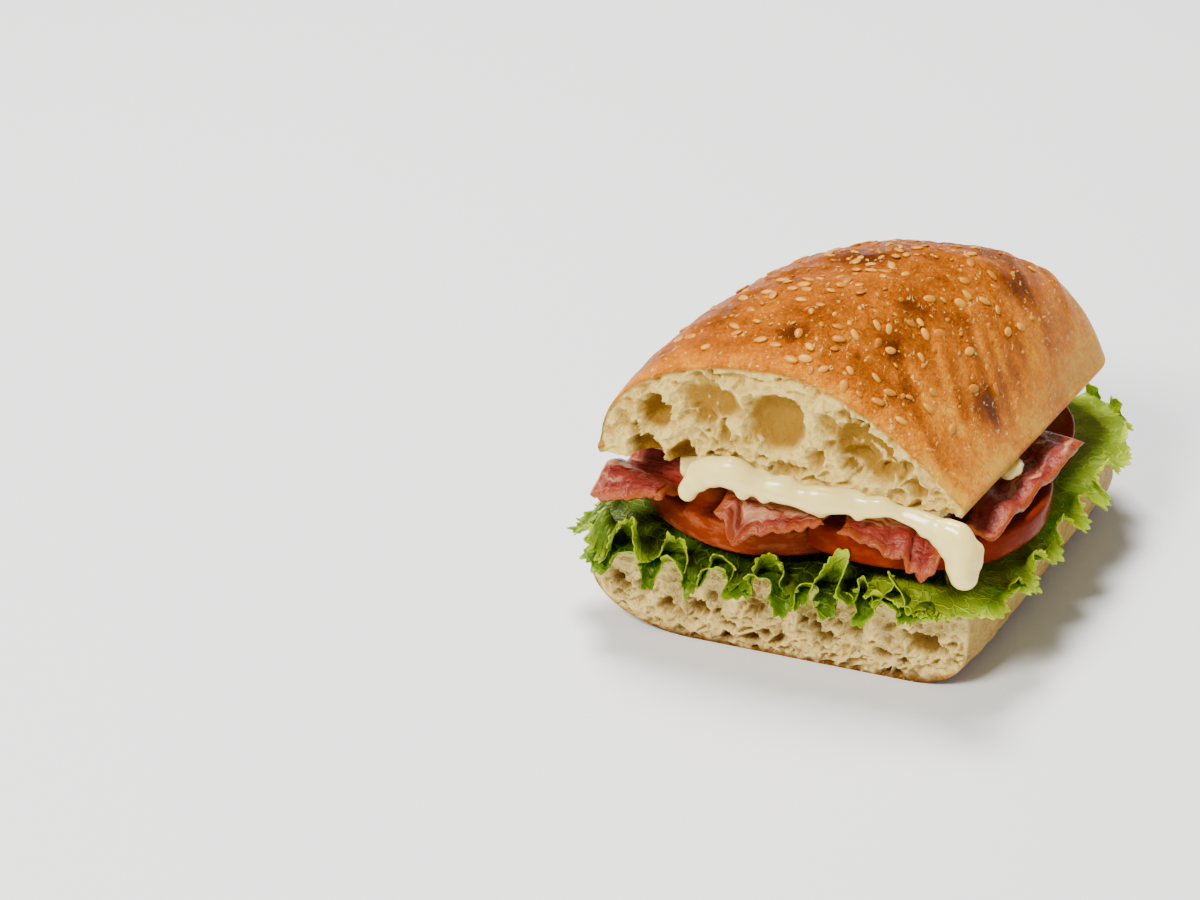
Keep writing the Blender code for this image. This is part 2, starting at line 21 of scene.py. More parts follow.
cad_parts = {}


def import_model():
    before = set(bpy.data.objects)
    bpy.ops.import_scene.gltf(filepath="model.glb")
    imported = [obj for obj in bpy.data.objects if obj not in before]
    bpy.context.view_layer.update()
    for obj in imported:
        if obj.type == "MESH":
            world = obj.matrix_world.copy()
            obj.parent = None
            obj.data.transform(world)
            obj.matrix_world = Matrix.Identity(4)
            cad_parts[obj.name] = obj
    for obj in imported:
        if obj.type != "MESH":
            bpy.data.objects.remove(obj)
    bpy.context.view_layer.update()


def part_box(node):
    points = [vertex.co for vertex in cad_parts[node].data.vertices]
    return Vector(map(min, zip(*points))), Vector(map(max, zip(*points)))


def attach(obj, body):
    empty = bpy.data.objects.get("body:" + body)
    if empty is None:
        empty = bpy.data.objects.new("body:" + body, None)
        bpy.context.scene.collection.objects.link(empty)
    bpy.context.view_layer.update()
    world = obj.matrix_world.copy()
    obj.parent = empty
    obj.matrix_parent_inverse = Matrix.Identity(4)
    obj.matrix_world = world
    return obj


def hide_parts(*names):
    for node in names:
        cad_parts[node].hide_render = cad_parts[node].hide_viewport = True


MM = 0.001
GAP = 0.3  # between neighbouring pieces, in millimetres
ROOT = "root"
SIDE = 0.999  # past this share of the way out a vertex lies on a side
FAR = 99.0  # a distance in millimetres beyond the whole roll
RIM_SIDE = 93.0  # length of one side of the heel's rim, in millimetres
TOMATO_CENTRE = (-10.6, 30.4)  # of the left slice in the roll's layout, which places the layout

Colour = tuple[float, float, float]
Marks = dict[str, np.ndarray]
Pair = tuple[np.ndarray, np.ndarray]

log = logging.getLogger("roll")


# ---------------------------------------------------------------- numbers


def smooth(value: np.ndarray, low: float, high: float) -> np.ndarray:
    """Eases from 0 at low to 1 at high.

    Args:
        value: What is eased.
        low: Where the result is still 0.
        high: Where the result reaches 1.

    Returns:
        Values from 0 to 1.
    """
    share = np.clip((value - low) / (high - low), 0.0, 1.0)
    return share * share * (3.0 - 2.0 * share)


def bell(value: np.ndarray, middle: float, width: "np.ndarray | float") -> np.ndarray:
    """A bell curve that is 1 at its middle and 0.37 at its width from there."""
    return np.exp(-(((value - middle) / width) ** 2))


def stacked(x: np.ndarray, y: np.ndarray, z: "np.ndarray | float" = 0.0) -> np.ndarray:
    """Joins coordinates into points, one in each row."""
    return np.stack(np.broadcast_arrays(x, y, z), -1)


def ripple(points: np.ndarray, size: float, seed: float = 0.0) -> np.ndarray:
    """Smooth noise from -1 to 1.

    Args:
        points: Places, three numbers in each row.
        size: How wide one bump is.
        seed: Moves the pattern.

    Returns:
        One value for each place.
    """
    flat = np.reshape(points, (-1, 3)) / size + np.array((seed, 3.7 * seed, -seed))
    values = np.fromiter((noise.noise(p) for p in flat.tolist()), float, len(flat))
    return values.reshape(np.shape(points)[:-1])


def spots(points: np.ndarray, places: Iterable[tuple[float, ...]]) -> np.ndarray:
    """Adds up soft round spots on a surface.

    Args:
        points: The surface's points.
        places: The x, y, radius and strength of each spot.

    Returns:
        Their sum at each point.
    """
    total = np.zeros(len(points))
    for x, y, radius, strength in places:
        centre = points[np.argmin((points[:, 0] - x) ** 2 + (points[:, 1] - y) ** 2)]
        total += strength * np.exp(-((points - centre) ** 2).sum(axis=1) / radius**2)
    return total


# ---------------------------------------------------------------- the mesh bench


class Bench:
    """Makes meshes whose points are given in millimetres of the roll's layout."""

    def __init__(self, origin: Vector) -> None:
        """Keeps the place of the layout's origin in the frame.

        Args:
            origin: That place, in metres.
        """
        self.origin = np.array(origin)

    def metres(self, points: np.ndarray) -> np.ndarray:
        """The frame's coordinates of points in the layout."""
        return points * MM + self.origin

    def place(self, point: Sequence[float]) -> Vector:
        """The frame's coordinates of one point in the layout."""
        return Vector(self.metres(np.array(point, float)))

    def finished(self, name: str, mesh: bpy.types.Mesh, look: bpy.types.Material) -> bpy.types.Object:
        """Makes a smooth-shaded object of a mesh.

        Args:
            name: The piece's name.
            mesh: Its mesh, in metres.
            look: Its material.

        Returns:
            The object, at the origin.
        """
        mesh.shade_smooth()
        mesh.materials.clear()
        mesh.materials.append(look)
        piece = bpy.data.objects.new(name, mesh)
        bpy.context.scene.collection.objects.link(piece)
        return piece

    def sheet(
        self, name: str, points: np.ndarray, marks: Marks, look: bpy.types.Material
    ) -> bpy.types.Object:
        """Makes a grid and puts its vertices where the points say.

        Args:
            name: The piece's name.
            points: One place for each vertex, by column and row.
            marks: Named values for each vertex, by column and row.
            look: Its material.

        Returns:
            The open sheet.
        """
        columns, rows = points.shape[0] - 1, points.shape[1] - 1
        bm = bmesh.new()
        bmesh.ops.create_grid(bm, x_segments=columns, y_segments=rows, size=0.5)
        mesh = mesh_of(bm, name)
        flat = read_points(mesh)
        i = np.rint((flat[:, 0] + 0.5) * columns).astype(int)
        j = np.rint((flat[:, 1] + 0.5) * rows).astype(int)
        placed = {mark: values[i, j] for mark, values in marks.items()}
        return self.formed(mesh, points[i, j], placed, look)

    def formed(
        self, mesh: bpy.types.Mesh, points: np.ndarray, marks: Marks, look: bpy.types.Material
    ) -> bpy.types.Object:
        """Moves a mesh's vertices, stores their marks and makes the object.

        Args:
            mesh: The mesh, whose name the piece takes.
            points: One place for each vertex.
            marks: Named values for each vertex.
            look: Its material.

        Returns:
            The object, at the origin.
        """
        write_points(mesh, self.metres(points))
        for mark, values in marks.items():
            write_mark(mesh, mark, values)
        return self.finished(mesh.name, mesh, look)


def read_points(mesh: bpy.types.Mesh) -> np.ndarray:
    """Reads the places of a mesh's vertices.

    Args:
        mesh: The mesh.

    Returns:
        Three numbers for each vertex.
    """
    flat = np.empty(len(mesh.vertices) * 3, np.float32)
    mesh.vertices.foreach_get("co", flat)
    return flat.reshape(-1, 3).astype(float)


def mesh_of(bm: bmesh.types.BMesh, name: str) -> bpy.types.Mesh:
    """Turns a bmesh into a mesh.

    Args:
        bm: The bmesh, which is freed.
        name: The mesh's name.

    Returns:
        The mesh.
    """
    mesh = bpy.data.meshes.new(name)
    bm.to_mesh(mesh)
    bm.free()
    return mesh


def write_points(mesh: bpy.types.Mesh, points: np.ndarray) -> None:
    """Moves a mesh's vertices to the points."""
    mesh.vertices.foreach_set("co", points.astype(np.float32).ravel())
    mesh.update()


def write_mark(mesh: bpy.types.Mesh, name: str, values: np.ndarray) -> None:
    """Stores one value for each vertex under a name that a material can read."""
    attribute = mesh.attributes.new(name, "FLOAT", "POINT")
    attribute.data.foreach_set("value", values.astype(np.float32).ravel())


def divided_cube(cuts: tuple[int, int, int], flat_sides: Iterable[tuple[int, int]]) -> bmesh.types.BMesh:
    """Makes a cube from -1 to 1 that is divided into cells.

    Args:
        cuts: How many cells there are along each axis.
        flat_sides: The axis and end, -1 or 1, of each side that becomes one face.

    Returns:
        The bmesh.
    """
    bm = bmesh.new()
    bmesh.ops.create_cube(bm, size=2.0)
    for axis, cells in enumerate(cuts):
        along = [e for e in bm.edges if abs(e.verts[0].co[axis] - e.verts[1].co[axis]) > 1.9]
        bmesh.ops.subdivide_edges(bm, edges=along, cuts=cells - 1, use_grid_fill=True)
    for axis, end in flat_sides:
        side = [f for f in bm.faces if all(abs(v.co[axis] - end) < 1e-4 for v in f.verts)]
        bmesh.ops.dissolve_faces(bm, faces=side)
    return bm


def crowded(mesh: bpy.types.Mesh, crowding: float) -> tuple[np.ndarray, np.ndarray, np.ndarray]:
    """Reads a divided cube whose cells are drawn towards the cut.

    Args:
        mesh: The cube.
        crowding: 1 for even cells, more for smaller ones at the cut.

    Returns:
        Each vertex's place across the roll, along it and upwards, from -1 to 1.
    """
    a, b, c = read_points(mesh).T
    return a, 2 * ((b + 1) / 2) ** crowding - 1, c


def weight_thickness(piece: bpy.types.Object, thickness: float, weights: np.ndarray) -> None:
    """Gives a sheet a thickness that varies over it, in steps.

    Args:
        piece: The sheet.
        thickness: Its full thickness, in millimetres.
        weights: The share of that thickness at each vertex.
    """
    steps = 20
    group = piece.vertex_groups.new(name="thickness")
    levels = np.rint(np.clip(weights, 0.0, 1.0) * steps).astype(int)
    for level in range(steps + 1):
        members = np.nonzero(levels == level)[0].tolist()
        if members:
            group.add(members, level / steps, "REPLACE")
    modifier = piece.modifiers.new("Thickness", "SOLIDIFY")
    modifier.thickness = thickness * MM
    modifier.offset = 0.0
    modifier.vertex_group = group.name
    modifier.thickness_vertex_group = 0.08


def apply_modifiers(piece: bpy.types.Object) -> None:
    """Replaces a piece's mesh by what its modifiers make of it.

    Args:
        piece: The piece, which has no modifiers left afterwards.
    """
    bpy.context.view_layer.update()
    graph = bpy.context.evaluated_depsgraph_get()
    made = bpy.data.meshes.new_from_object(piece.evaluated_get(graph))
    piece.modifiers.clear()
    piece.data = made


# ---------------------------------------------------------------- shader maths


class Value:
    """A socket in an expression: each operator adds the Math node that works it out."""

    def __init__(self, board: "NodeBoard", socket: bpy.types.NodeSocket) -> None:
        """Wraps one output socket of a material's nodes."""
        self.board = board
        self.socket = socket

    def maths(self, operation: str, *operands: "Value | float") -> "Value":
        """Adds one Math node.

        Args:
            operation: What the node does.
            operands: Its inputs in order.

        Returns:
            Its result.
        """
        sockets = dict(enumerate(operands))
        return self.board.node("ShaderNodeMath", {"operation": operation}, sockets)

    def __add__(self, other: "Value | float") -> "Value":
        """The sum."""
        return self.maths("ADD", self, other)

    def __radd__(self, other: float) -> "Value":
        """The sum, with the number first."""
        return self.maths("ADD", other, self)

    def __sub__(self, other: "Value | float") -> "Value":
        """The difference."""
        return self.maths("SUBTRACT", self, other)

    def __rsub__(self, other: float) -> "Value":
        """The difference, with the number first."""
        return self.maths("SUBTRACT", other, self)

    def __mul__(self, other: "Value | float") -> "Value":
        """The product."""
        return self.maths("MULTIPLY", self, other)

    def __rmul__(self, other: float) -> "Value":
        """The product, with the number first."""
        return self.maths("MULTIPLY", other, self)

    def __truediv__(self, other: "Value | float") -> "Value":
        """The quotient."""
        return self.maths("DIVIDE", self, other)

    def __pow__(self, other: float) -> "Value":
        """The power."""
        return self.maths("POWER", self, other)

    def step(self, low: float, high: float) -> "Value":
        """Eases from 0 at low to 1 at high."""
        sockets = {"Value": self, "From Min": low, "From Max": high}
        return self.board.node("ShaderNodeMapRange", {"interpolation_type": "SMOOTHSTEP"}, sockets)


class NodeBoard:
    """The nodes of one material, built round its Principled shader."""

    def __init__(self, name: str) -> None:
        """Makes a material with an untouched Principled shader.

        Args:
            name: The material's name.
        """
        self.material = bpy.data.materials.new(name)
        self.material.use_nodes = True
        self.nodes = self.material.node_tree.nodes
        self.links = self.material.node_tree.links
        self.shader = self.nodes["Principled BSDF"]

    def connect(self, socket: bpy.types.NodeSocket, value: "Value | float | Sequence[float]") -> None:
        """Links a value to a socket, or sets the socket to a constant.

        Args:
            socket: The input.
            value: What it gets: another node's result, a number, a vector or a colour.
        """
        if isinstance(value, Value):
            self.links.new(value.socket, socket)
        elif isinstance(value, (tuple, list)) and len(value) == 3 and socket.type == "RGBA":
            socket.default_value = (*value, 1.0)
        else:
            socket.default_value = value

    def node(self, kind: str, settings: dict, sockets: dict, output: int | str = 0) -> Value:
        """Adds any node.

        Args:
            kind: The node's type.
            settings: Its own settings, such as an operation, or a ramp's stops.
            sockets: Values or links of its inputs, by name or by number.
            output: The output that is used.

        Returns:
            That output.
        """
        made = self.nodes.new(kind)
        for setting, value in settings.items():
            if setting == "stops":
                self.set_stops(made.color_ramp, value)
            else:
                setattr(made, setting, value)
        for socket, value in sockets.items():
            self.connect(made.inputs[socket], value)
        return Value(self, made.outputs[output])

    @staticmethod
    def set_stops(ramp: bpy.types.ColorRamp, stops: Sequence[tuple[float, Colour]]) -> None:
        """Gives a colour ramp its stops.

        Args:
            ramp: The ramp.
            stops: The position and colour of each stop.
        """
        while len(ramp.elements) < len(stops):
            ramp.elements.new(0.5)
        for element, (position, colour) in zip(ramp.elements, stops):
            element.position = position
            element.color = (*colour, 1.0)

    def mark(self, name: str) -> Value:
        """A value that is stored on the mesh's vertices."""
        return self.node("ShaderNodeAttribute", {"attribute_name": name}, {}, "Fac")

    def place(self) -> Value:
        """The object coordinates, in metres."""
        return self.node("ShaderNodeTexCoord", {}, {}, "Object")

    def stretched(self, scale: Sequence[float]) -> Value:
        """The object coordinates, scaled by a factor along each axis."""
        return self.node("ShaderNodeMapping", {}, {"Vector": self.place(), "Scale": tuple(scale)})

    def joined(self, x: "Value | float", y: "Value | float", z: "Value | float" = 0.0) -> Value:
        """A vector of three values."""
        return self.node("ShaderNodeCombineXYZ", {}, {0: x, 1: y, 2: z})

    def cloud(
        self, size: float, detail: float = 3.0, roughness: float = 0.55, where: "Value | None" = None
    ) -> Value:
        """Noise from 0 to 1.

        Args:
            size: How wide its bumps are, in millimetres.
            detail: How many finer layers it has.
            roughness: How strong those are.
            where: Other coordinates than the object's.

        Returns:
            The noise.
        """
        sockets = {"Scale": 1.0 / (size * MM), "Detail": detail, "Roughness": roughness}
        sockets["Vector"] = where or self.place()
        return self.node("ShaderNodeTexNoise", {}, sockets)

    def cells(self, size: float, feature: str = "F1", where: "Value | None" = None) -> Value:
        """The distances of a cell pattern.

        Args:
            size: How wide the cells are, in millimetres.
            feature: What is measured.
            where: Other coordinates than the object's.

        Returns:
            The distance, in cells.
        """
        sockets = {"Scale": 1.0 / (size * MM), "Vector": where or self.place()}
        return self.node("ShaderNodeTexVoronoi", {"feature": feature}, sockets, "Distance")

    def ramp(self, value: Value, stops: Sequence[tuple[float, Colour]]) -> Value:
        """A colour that follows a value through its stops."""
        return self.node("ShaderNodeValToRGB", {"stops": stops}, {0: value}, "Color")

    def blend(self, share: Value, first: "Value | Colour", second: "Value | Colour") -> Value:
        """Mixes two colours.

        Args:
            share: How much of the second shows.
            first: The colour at 0.
            second: The colour at 1.

        Returns:
            The mixed colour.
        """
        settings = {"data_type": "RGBA", "blend_type": "MIX", "clamp_factor": True}
        return self.node("ShaderNodeMix", settings, {0: share, 6: first, 7: second}, 2)

    def bump(self, height: Value, distance: float, strength: float = 1.0) -> None:
        """Roughens the surface by a height field.

        Args:
            height: The height, from 0 to 1.
            distance: What 1 stands for, in millimetres.
            strength: How much of it counts.
        """
        sockets = {"Height": height, "Distance": distance * MM, "Strength": strength}
        self.feed("Normal", self.node("ShaderNodeBump", {}, sockets))

    def feed(self, socket: str, value: "Value | float | Sequence[float]") -> None:
        """Links or sets one socket of the Principled shader."""
        self.connect(self.shader.inputs[socket], value)

    def gloss(self, level: float, tint: Colour) -> None:
        """Sets how strongly the surface mirrors straight on, and in which tint."""
        self.feed("Specular IOR Level", level)
        self.feed("Specular Tint", tint)

    def translucent(self, weight: float, radius: Sequence[float], scale: float) -> None:
        """Lets light in under the surface.

        Args:
            weight: How much of it enters.
            radius: How far red, green and blue travel, as shares of scale.
            scale: The unit of that, in millimetres.
        """
        self.feed("Subsurface Weight", weight)
        self.feed("Subsurface Radius", tuple(radius))
        self.feed("Subsurface Scale", scale * MM)


# ---------------------------------------------------------------- finishes


@dataclass(frozen=True)
class BreadFinish:
    """Crust and crumb of one half of the roll."""

    name: str
    bake: tuple[tuple[float, Colour], ...] = (
        (0.00, (0.86, 0.40, 0.022)),
        (0.20, (0.75, 0.225, 0.002)),
        (0.44, (0.48, 0.115, 0.001)),
        (0.74, (0.23, 0.046, 0.001)),
        (1.00, (0.10, 0.020, 0.001)),
    )
    crumb: Colour = (0.63, 0.405, 0.070)
    # painted highlight on the crumb's bubble rims and thin walls
    rim: Colour = (0.95, 0.74, 0.24)
    # painted shade: the darker colour in the crumb's hollows and pores
    painted_hollow_shade: Colour = (0.30, 0.155, 0.018)
    # painted highlight: the colour of the light flecks that stand in for the crust's tiny glints
    painted_glint_colour: Colour = (1.00, 0.62, 0.17)
    pore_size: float = 0.62
    pore_depth: float = 0.25
    stringy: float = 0.35

    @staticmethod
    def wavering(board: NodeBoard) -> Value:
        """Pushes the object coordinates about, so that cells don't look drawn with a ruler.

        Args:
            board: The material's nodes.

        Returns:
            The coordinates.
        """
        drift = board.node("ShaderNodeTexNoise", {}, {"Vector": board.place(), "Scale": 400.0}, "Color")
        sockets = {0: drift, 1: (1.1 * MM,) * 3, 2: board.place()}
        return board.node("ShaderNodeVectorMath", {"operation": "MULTIPLY_ADD"}, sockets)

    def make(self) -> bpy.types.Material:
        """Builds the material from the marks crust and bake, the painted shade of the crumb's hollows
        and the painted highlight on its bubbles' rims.

        Returns:
            The material.
        """
        board = NodeBoard(self.name)
        crust = board.mark("crust")
        grain = board.cloud(0.9, 4.0, 0.65)
        mottle = board.cloud(3.4, 4.0, 0.65)
        level = board.mark("bake") + (grain - 0.5) * 0.75 + (mottle - 0.5) * 0.60
        baked = board.ramp(level, self.bake)
        # Painted glints: small light flecks on the crust, also raised a little in the bump.
        glint_lines = board.cloud(1.0, 2.0, 0.6, board.stretched((1.0, 0.5, 1.0)))
        painted_glint_specks = glint_lines.step(0.60, 0.68) * board.cloud(3.5, 2.0).step(0.42, 0.54)
        baked = board.blend(painted_glint_specks * 0.75, baked, self.painted_glint_colour)
        pits = (1.0 - board.cells(2.1, "F1").step(0.02, 0.12)) * board.cloud(7.0, 2.0).step(0.50, 0.62)
        baked = board.blend(pits * 0.6, baked, (0.13, 0.03, 0.006))
        # Painted shade in the crumb's hollows.
        open_crumb = board.blend(board.mark("painted_hollow_shade"), self.crumb, self.painted_hollow_shade)
        # Painted highlight along the bubbles' rims.
        open_crumb = board.blend(board.mark("rim") * 0.75, open_crumb, self.rim)
        pores = board.cells(self.pore_size, "F1", self.wavering(board))
        # Painted shade in the tiny pores; pore_depth sets its strength and that of their bump.
        pinhole_shade_mask = (1.0 - pores.step(0.08, 0.34)) * board.cloud(2.6, 2.0).step(0.44, 0.62)
        open_crumb = board.blend(pinhole_shade_mask * self.pore_depth, open_crumb, self.painted_hollow_shade)
        strands = 1.0 - board.cells(1.9, "DISTANCE_TO_EDGE", self.wavering(board)).step(0.0, 0.14)
        strands = strands * (1.0 - board.mark("painted_hollow_shade")) * self.stringy
        # Painted highlights on the crumb's thin walls and strands, kept out of its painted shade.
        streaks = board.cloud(2.2, 4.0, 0.65).step(0.42, 0.72)
        painted_wall_highlight = (streaks * 0.48 + strands * 0.5) * (1.0 - board.mark("painted_hollow_shade"))
        open_crumb = board.blend(painted_wall_highlight, open_crumb, self.rim)
        board.feed("Base Color", board.blend(crust, open_crumb, baked))
        board.feed("Roughness", 0.50 - crust * (0.08 + 0.40 * (grain - 0.4)))
        board.gloss(0.12, (1.0, 0.45, 0.08))
        board.translucent(0.08, (1.0, 0.6, 0.3), 1.0)
        skin = board.cloud(1.1, 5.0, 0.75) + mottle * 1.3 + painted_glint_specks * 0.30
        web = board.cloud(0.9, 3.0, 0.6) * 0.34 + (1.0 - pinhole_shade_mask) * self.pore_depth * 0.4
        web = web + strands * 0.20
        board.bump(skin * crust + web * (1.0 - crust), 1.3)
        return board.material


@dataclass(frozen=True)
class SeedFinish:
    """Toasted sesame, each seed with its own shade."""

    pale: Colour = (0.68, 0.31, 0.026)
    toasted: Colour = (0.40, 0.125, 0.004)

    def make(self) -> bpy.types.Material:
        """Builds the material from the mark shade.

        Returns:
            The material.
        """
        board = NodeBoard("sesame")
        shade = board.mark("shade") + (board.cloud(0.8, 2.0) - 0.5) * 0.5
        board.feed("Base Color", board.blend(shade, self.pale, self.toasted))
        board.feed("Roughness", 0.36 + board.cloud(0.5, 2.0) * 0.14)
        board.feed("Specular Tint", (1.0, 0.7, 0.35))
        board.translucent(0.10, (1.0, 0.6, 0.3), 0.6)
        board.bump(board.cloud(0.4, 2.0), 0.06)
        return board.material


@dataclass(frozen=True)
class LeafFinish:
    """Lettuce, pale along its frill and darker inside: the darkest greens inside are painted shade, and
    the ruffles have painted light on their crests and painted shade in their troughs.
    """

    name: str
    # deep and middle hold painted shade where the leaf runs in under the filling and in its troughs;
    # edge is the pale frill.
    deep: Colour
    middle: Colour
    edge: Colour
    rib: Colour
    veined: float = 0.16

    def make(self) -> bpy.types.Material:
        """Builds the material from the marks frill, along, across and the painted light and shade of the
        ruffles.

        Returns:
            The material.
        """
        board = NodeBoard(self.name)
        frill, along = board.mark("frill"), board.mark("along")
        patch = board.cloud(5.0, 3.0, 0.6)
        # Painted shade inside the leaf and in the ruffles' troughs, painted light on their crests.
        level = frill * 0.70 + board.mark("painted_ruffle_light") * 0.35 + (patch - 0.5) * 0.6
        green = board.ramp(level, ((0.10, self.deep), (0.50, self.middle), (0.90, self.edge)))
        bend = (board.cloud(6.0, 2.0) - 0.5) * (5.0 * MM)
        flow = board.joined(along * MM + bend, board.mark("across") * (0.5 * MM) + bend)
        wander = board.cells(3.1, "DISTANCE_TO_EDGE", flow)
        veins = 1.0 - wander.step(0.01, 0.08)
        fine = 1.0 - board.cells(1.1, "DISTANCE_TO_EDGE", flow).step(0.02, 0.14)
        green = board.blend(veins * self.veined, green, self.rib)
        green = board.blend(fine * 0.04, green, self.rib)
        board.feed("Base Color", green)
        board.feed("Roughness", 0.30 + patch * 0.18)
        board.gloss(0.40, (0.85, 1.0, 0.30))
        board.translucent(0.35, (0.5, 1.0, 0.15), 1.2)
        board.bump(veins * 0.7 + fine * 0.15 + board.cloud(1.6, 3.0) * 0.6, 0.28)
        return board.material


@dataclass(frozen=True)
class TomatoFinish:
    """A tomato slice: glossy skin round wet flesh with seed chambers."""

    name: str
    centre: tuple[float, float]
    radius: float
    skin: Colour = (0.155, 0.011, 0.001)
    skin_pale: Colour = (0.25, 0.034, 0.002)
    flesh: Colour = (0.15, 0.013, 0.001)
    chamber: Colour = (0.10, 0.007, 0.001)
    core: Colour = (0.32, 0.085, 0.022)
    chambers: float = 6.0

    def make(self) -> bpy.types.Material:
        """Builds the material round the slice's own centre.

        Returns:
            The material.
        """
        board = NodeBoard(self.name)
        shift = (-self.centre[0], -self.centre[1], 0.0)
        local = board.node("ShaderNodeVectorMath", {"operation": "ADD"}, {0: board.place(), 1: shift})
        split = board.node("ShaderNodeSeparateXYZ", {}, {0: local}, "X")
        x, y = split, Value(board, split.socket.node.outputs["Y"])
        radial = ((x * x + y * y) ** 0.5) / self.radius
        angle = x.maths("ARCTAN2", y, x)
        wobble = board.cloud(9.0, 2.0) - 0.5
        turned = angle * (self.chambers / 2.0) + wobble * 1.6
        spokes = turned.maths("SINE", turned)
        lobe = (spokes * spokes).step(0.12, 0.40)
        uneven = radial + wobble * 0.06
        ring = uneven.step(0.26, 0.36) * (1.0 - uneven.step(0.70, 0.80))
        wet = lobe * ring
        fibres = board.cloud(1.6, 3.0, 0.6)
        inside = board.blend(wet, self.flesh, self.chamber)
        heart = (1.0 - radial.step(0.10, 0.30)) + (1.0 - lobe) * ring * 0.5
        inside = board.blend(heart * 0.8, inside, self.core)
        inside = board.blend(fibres.step(0.45, 0.8) * 0.35, inside, self.core)
        streaks = board.cloud(5.0, 4.0, 0.65, board.stretched((1.0, 1.0, 2.2))).step(0.46, 0.66)
        outside = board.blend(streaks * 0.55, self.skin, self.skin_pale)
        on_skin = radial.step(0.945, 0.975)
        board.feed("Base Color", board.blend(on_skin, inside, outside))
        board.feed("Roughness", 0.24 - on_skin * 0.08 + fibres * 0.08)
        board.gloss(0.025, (1.0, 0.28, 0.08))
        board.translucent(0.12, (1.0, 0.25, 0.1), 1.2)
        board.bump(fibres * 0.5 + wet * 0.5 + board.cloud(4.0, 2.0) * 0.5, 0.30, 0.6)
        return board.material


@dataclass(frozen=True)
class BaconFinish:
    """Fried bacon: meat with streaks of fat along it and browned edges."""

    name: str
    seed: float
    crosswise: bool = True  # whether the streaks run across the rasher
    lean: float = 0.53  # from where on the streaks are fat
    meat: Colour = (0.28, 0.036, 0.022)
    deep_meat: Colour = (0.15, 0.011, 0.008)
    fat: Colour = (0.48, 0.17, 0.080)
    pale_fat: Colour = (0.62, 0.34, 0.19)
    browned: Colour = (0.30, 0.055, 0.005)

    def make(self) -> bpy.types.Material:
        """Builds the material from the marks across and along, in millimetres, and rim.

        Returns:
            The material.
        """
        board = NodeBoard(self.name)
        across, along = board.mark("across"), board.mark("along")
        warp = (board.cloud(7.0, 2.0) - 0.5) * 5.0
        if self.crosswise:
            across, along = along, across
        flow = board.joined((across + warp) * MM, along * (0.16 * MM), self.seed)
        streaks = board.cloud(5.0, 3.0, 0.55, flow)
        fine = board.cloud(1.3, 3.0, 0.65, flow)
        meat = board.blend(fine.step(0.35, 0.65), self.deep_meat, self.meat)
        fat = board.blend(fine.step(0.4, 0.7), self.fat, self.pale_fat)
        fatty = (streaks + (fine - 0.5) * 0.3).step(self.lean, self.lean + 0.13)
        colour = board.blend(fatty * 0.85, meat, fat)
        browning = board.mark("rim") * (0.55 + board.cloud(3.0, 2.0) * 0.6)
        colour = board.blend(browning, colour, self.browned)
        specks = 1.0 - board.cells(2.7).step(0.05, 0.11)
        specks = specks * board.cloud(8.0, 1.0).step(0.52, 0.6)
        colour = board.blend(specks, colour, (0.03, 0.012, 0.008))
        board.feed("Base Color", colour)
        board.feed("Roughness", 0.17 + fine * 0.24)
        board.gloss(0.42, (1.0, 0.62, 0.48))
        board.translucent(0.12, (1.0, 0.35, 0.25), 1.0)
        board.bump(fine * 0.6 + streaks * 0.5 + board.cloud(1.0, 3.0, 0.65) * 0.7, 0.7, 0.65)
        return board.material


@dataclass(frozen=True)
class SauceFinish:
    """Mayonnaise: smooth, pale and glossy."""

    cream: Colour = (0.98, 0.79, 0.26)
    thin: Colour = (0.95, 0.66, 0.15)

    def make(self) -> bpy.types.Material:
        """Builds the material.

        Returns:
            The material.
        """
        board = NodeBoard("mayonnaise")
        drift = board.cloud(6.0, 2.0).step(0.35, 0.7)
        board.feed("Base Color", board.blend(drift * 0.35, self.cream, self.thin))
        board.feed("Roughness", 0.20 + board.cloud(2.5, 2.0) * 0.10)
        board.feed("Coat Weight", 0.3)
        board.feed("Coat Roughness", 0.08)
        board.translucent(0.30, (1.0, 0.85, 0.55), 1.5)
        board.bump(board.cloud(2.2, 2.0), 0.10, 0.5)
        return board.material


@dataclass(frozen=True)
class FloorFinish:
    """A plain pale floor."""

    pale: Colour = (0.86, 0.86, 0.86)

    def make(self) -> bpy.types.Material:
        """Builds the material.

        Returns:
            The material.
        """
        board = NodeBoard("floor")
        board.feed("Base Color", self.pale)
        board.feed("Roughness", 0.6)
        return board.material


# ---------------------------------------------------------------- the roll's form


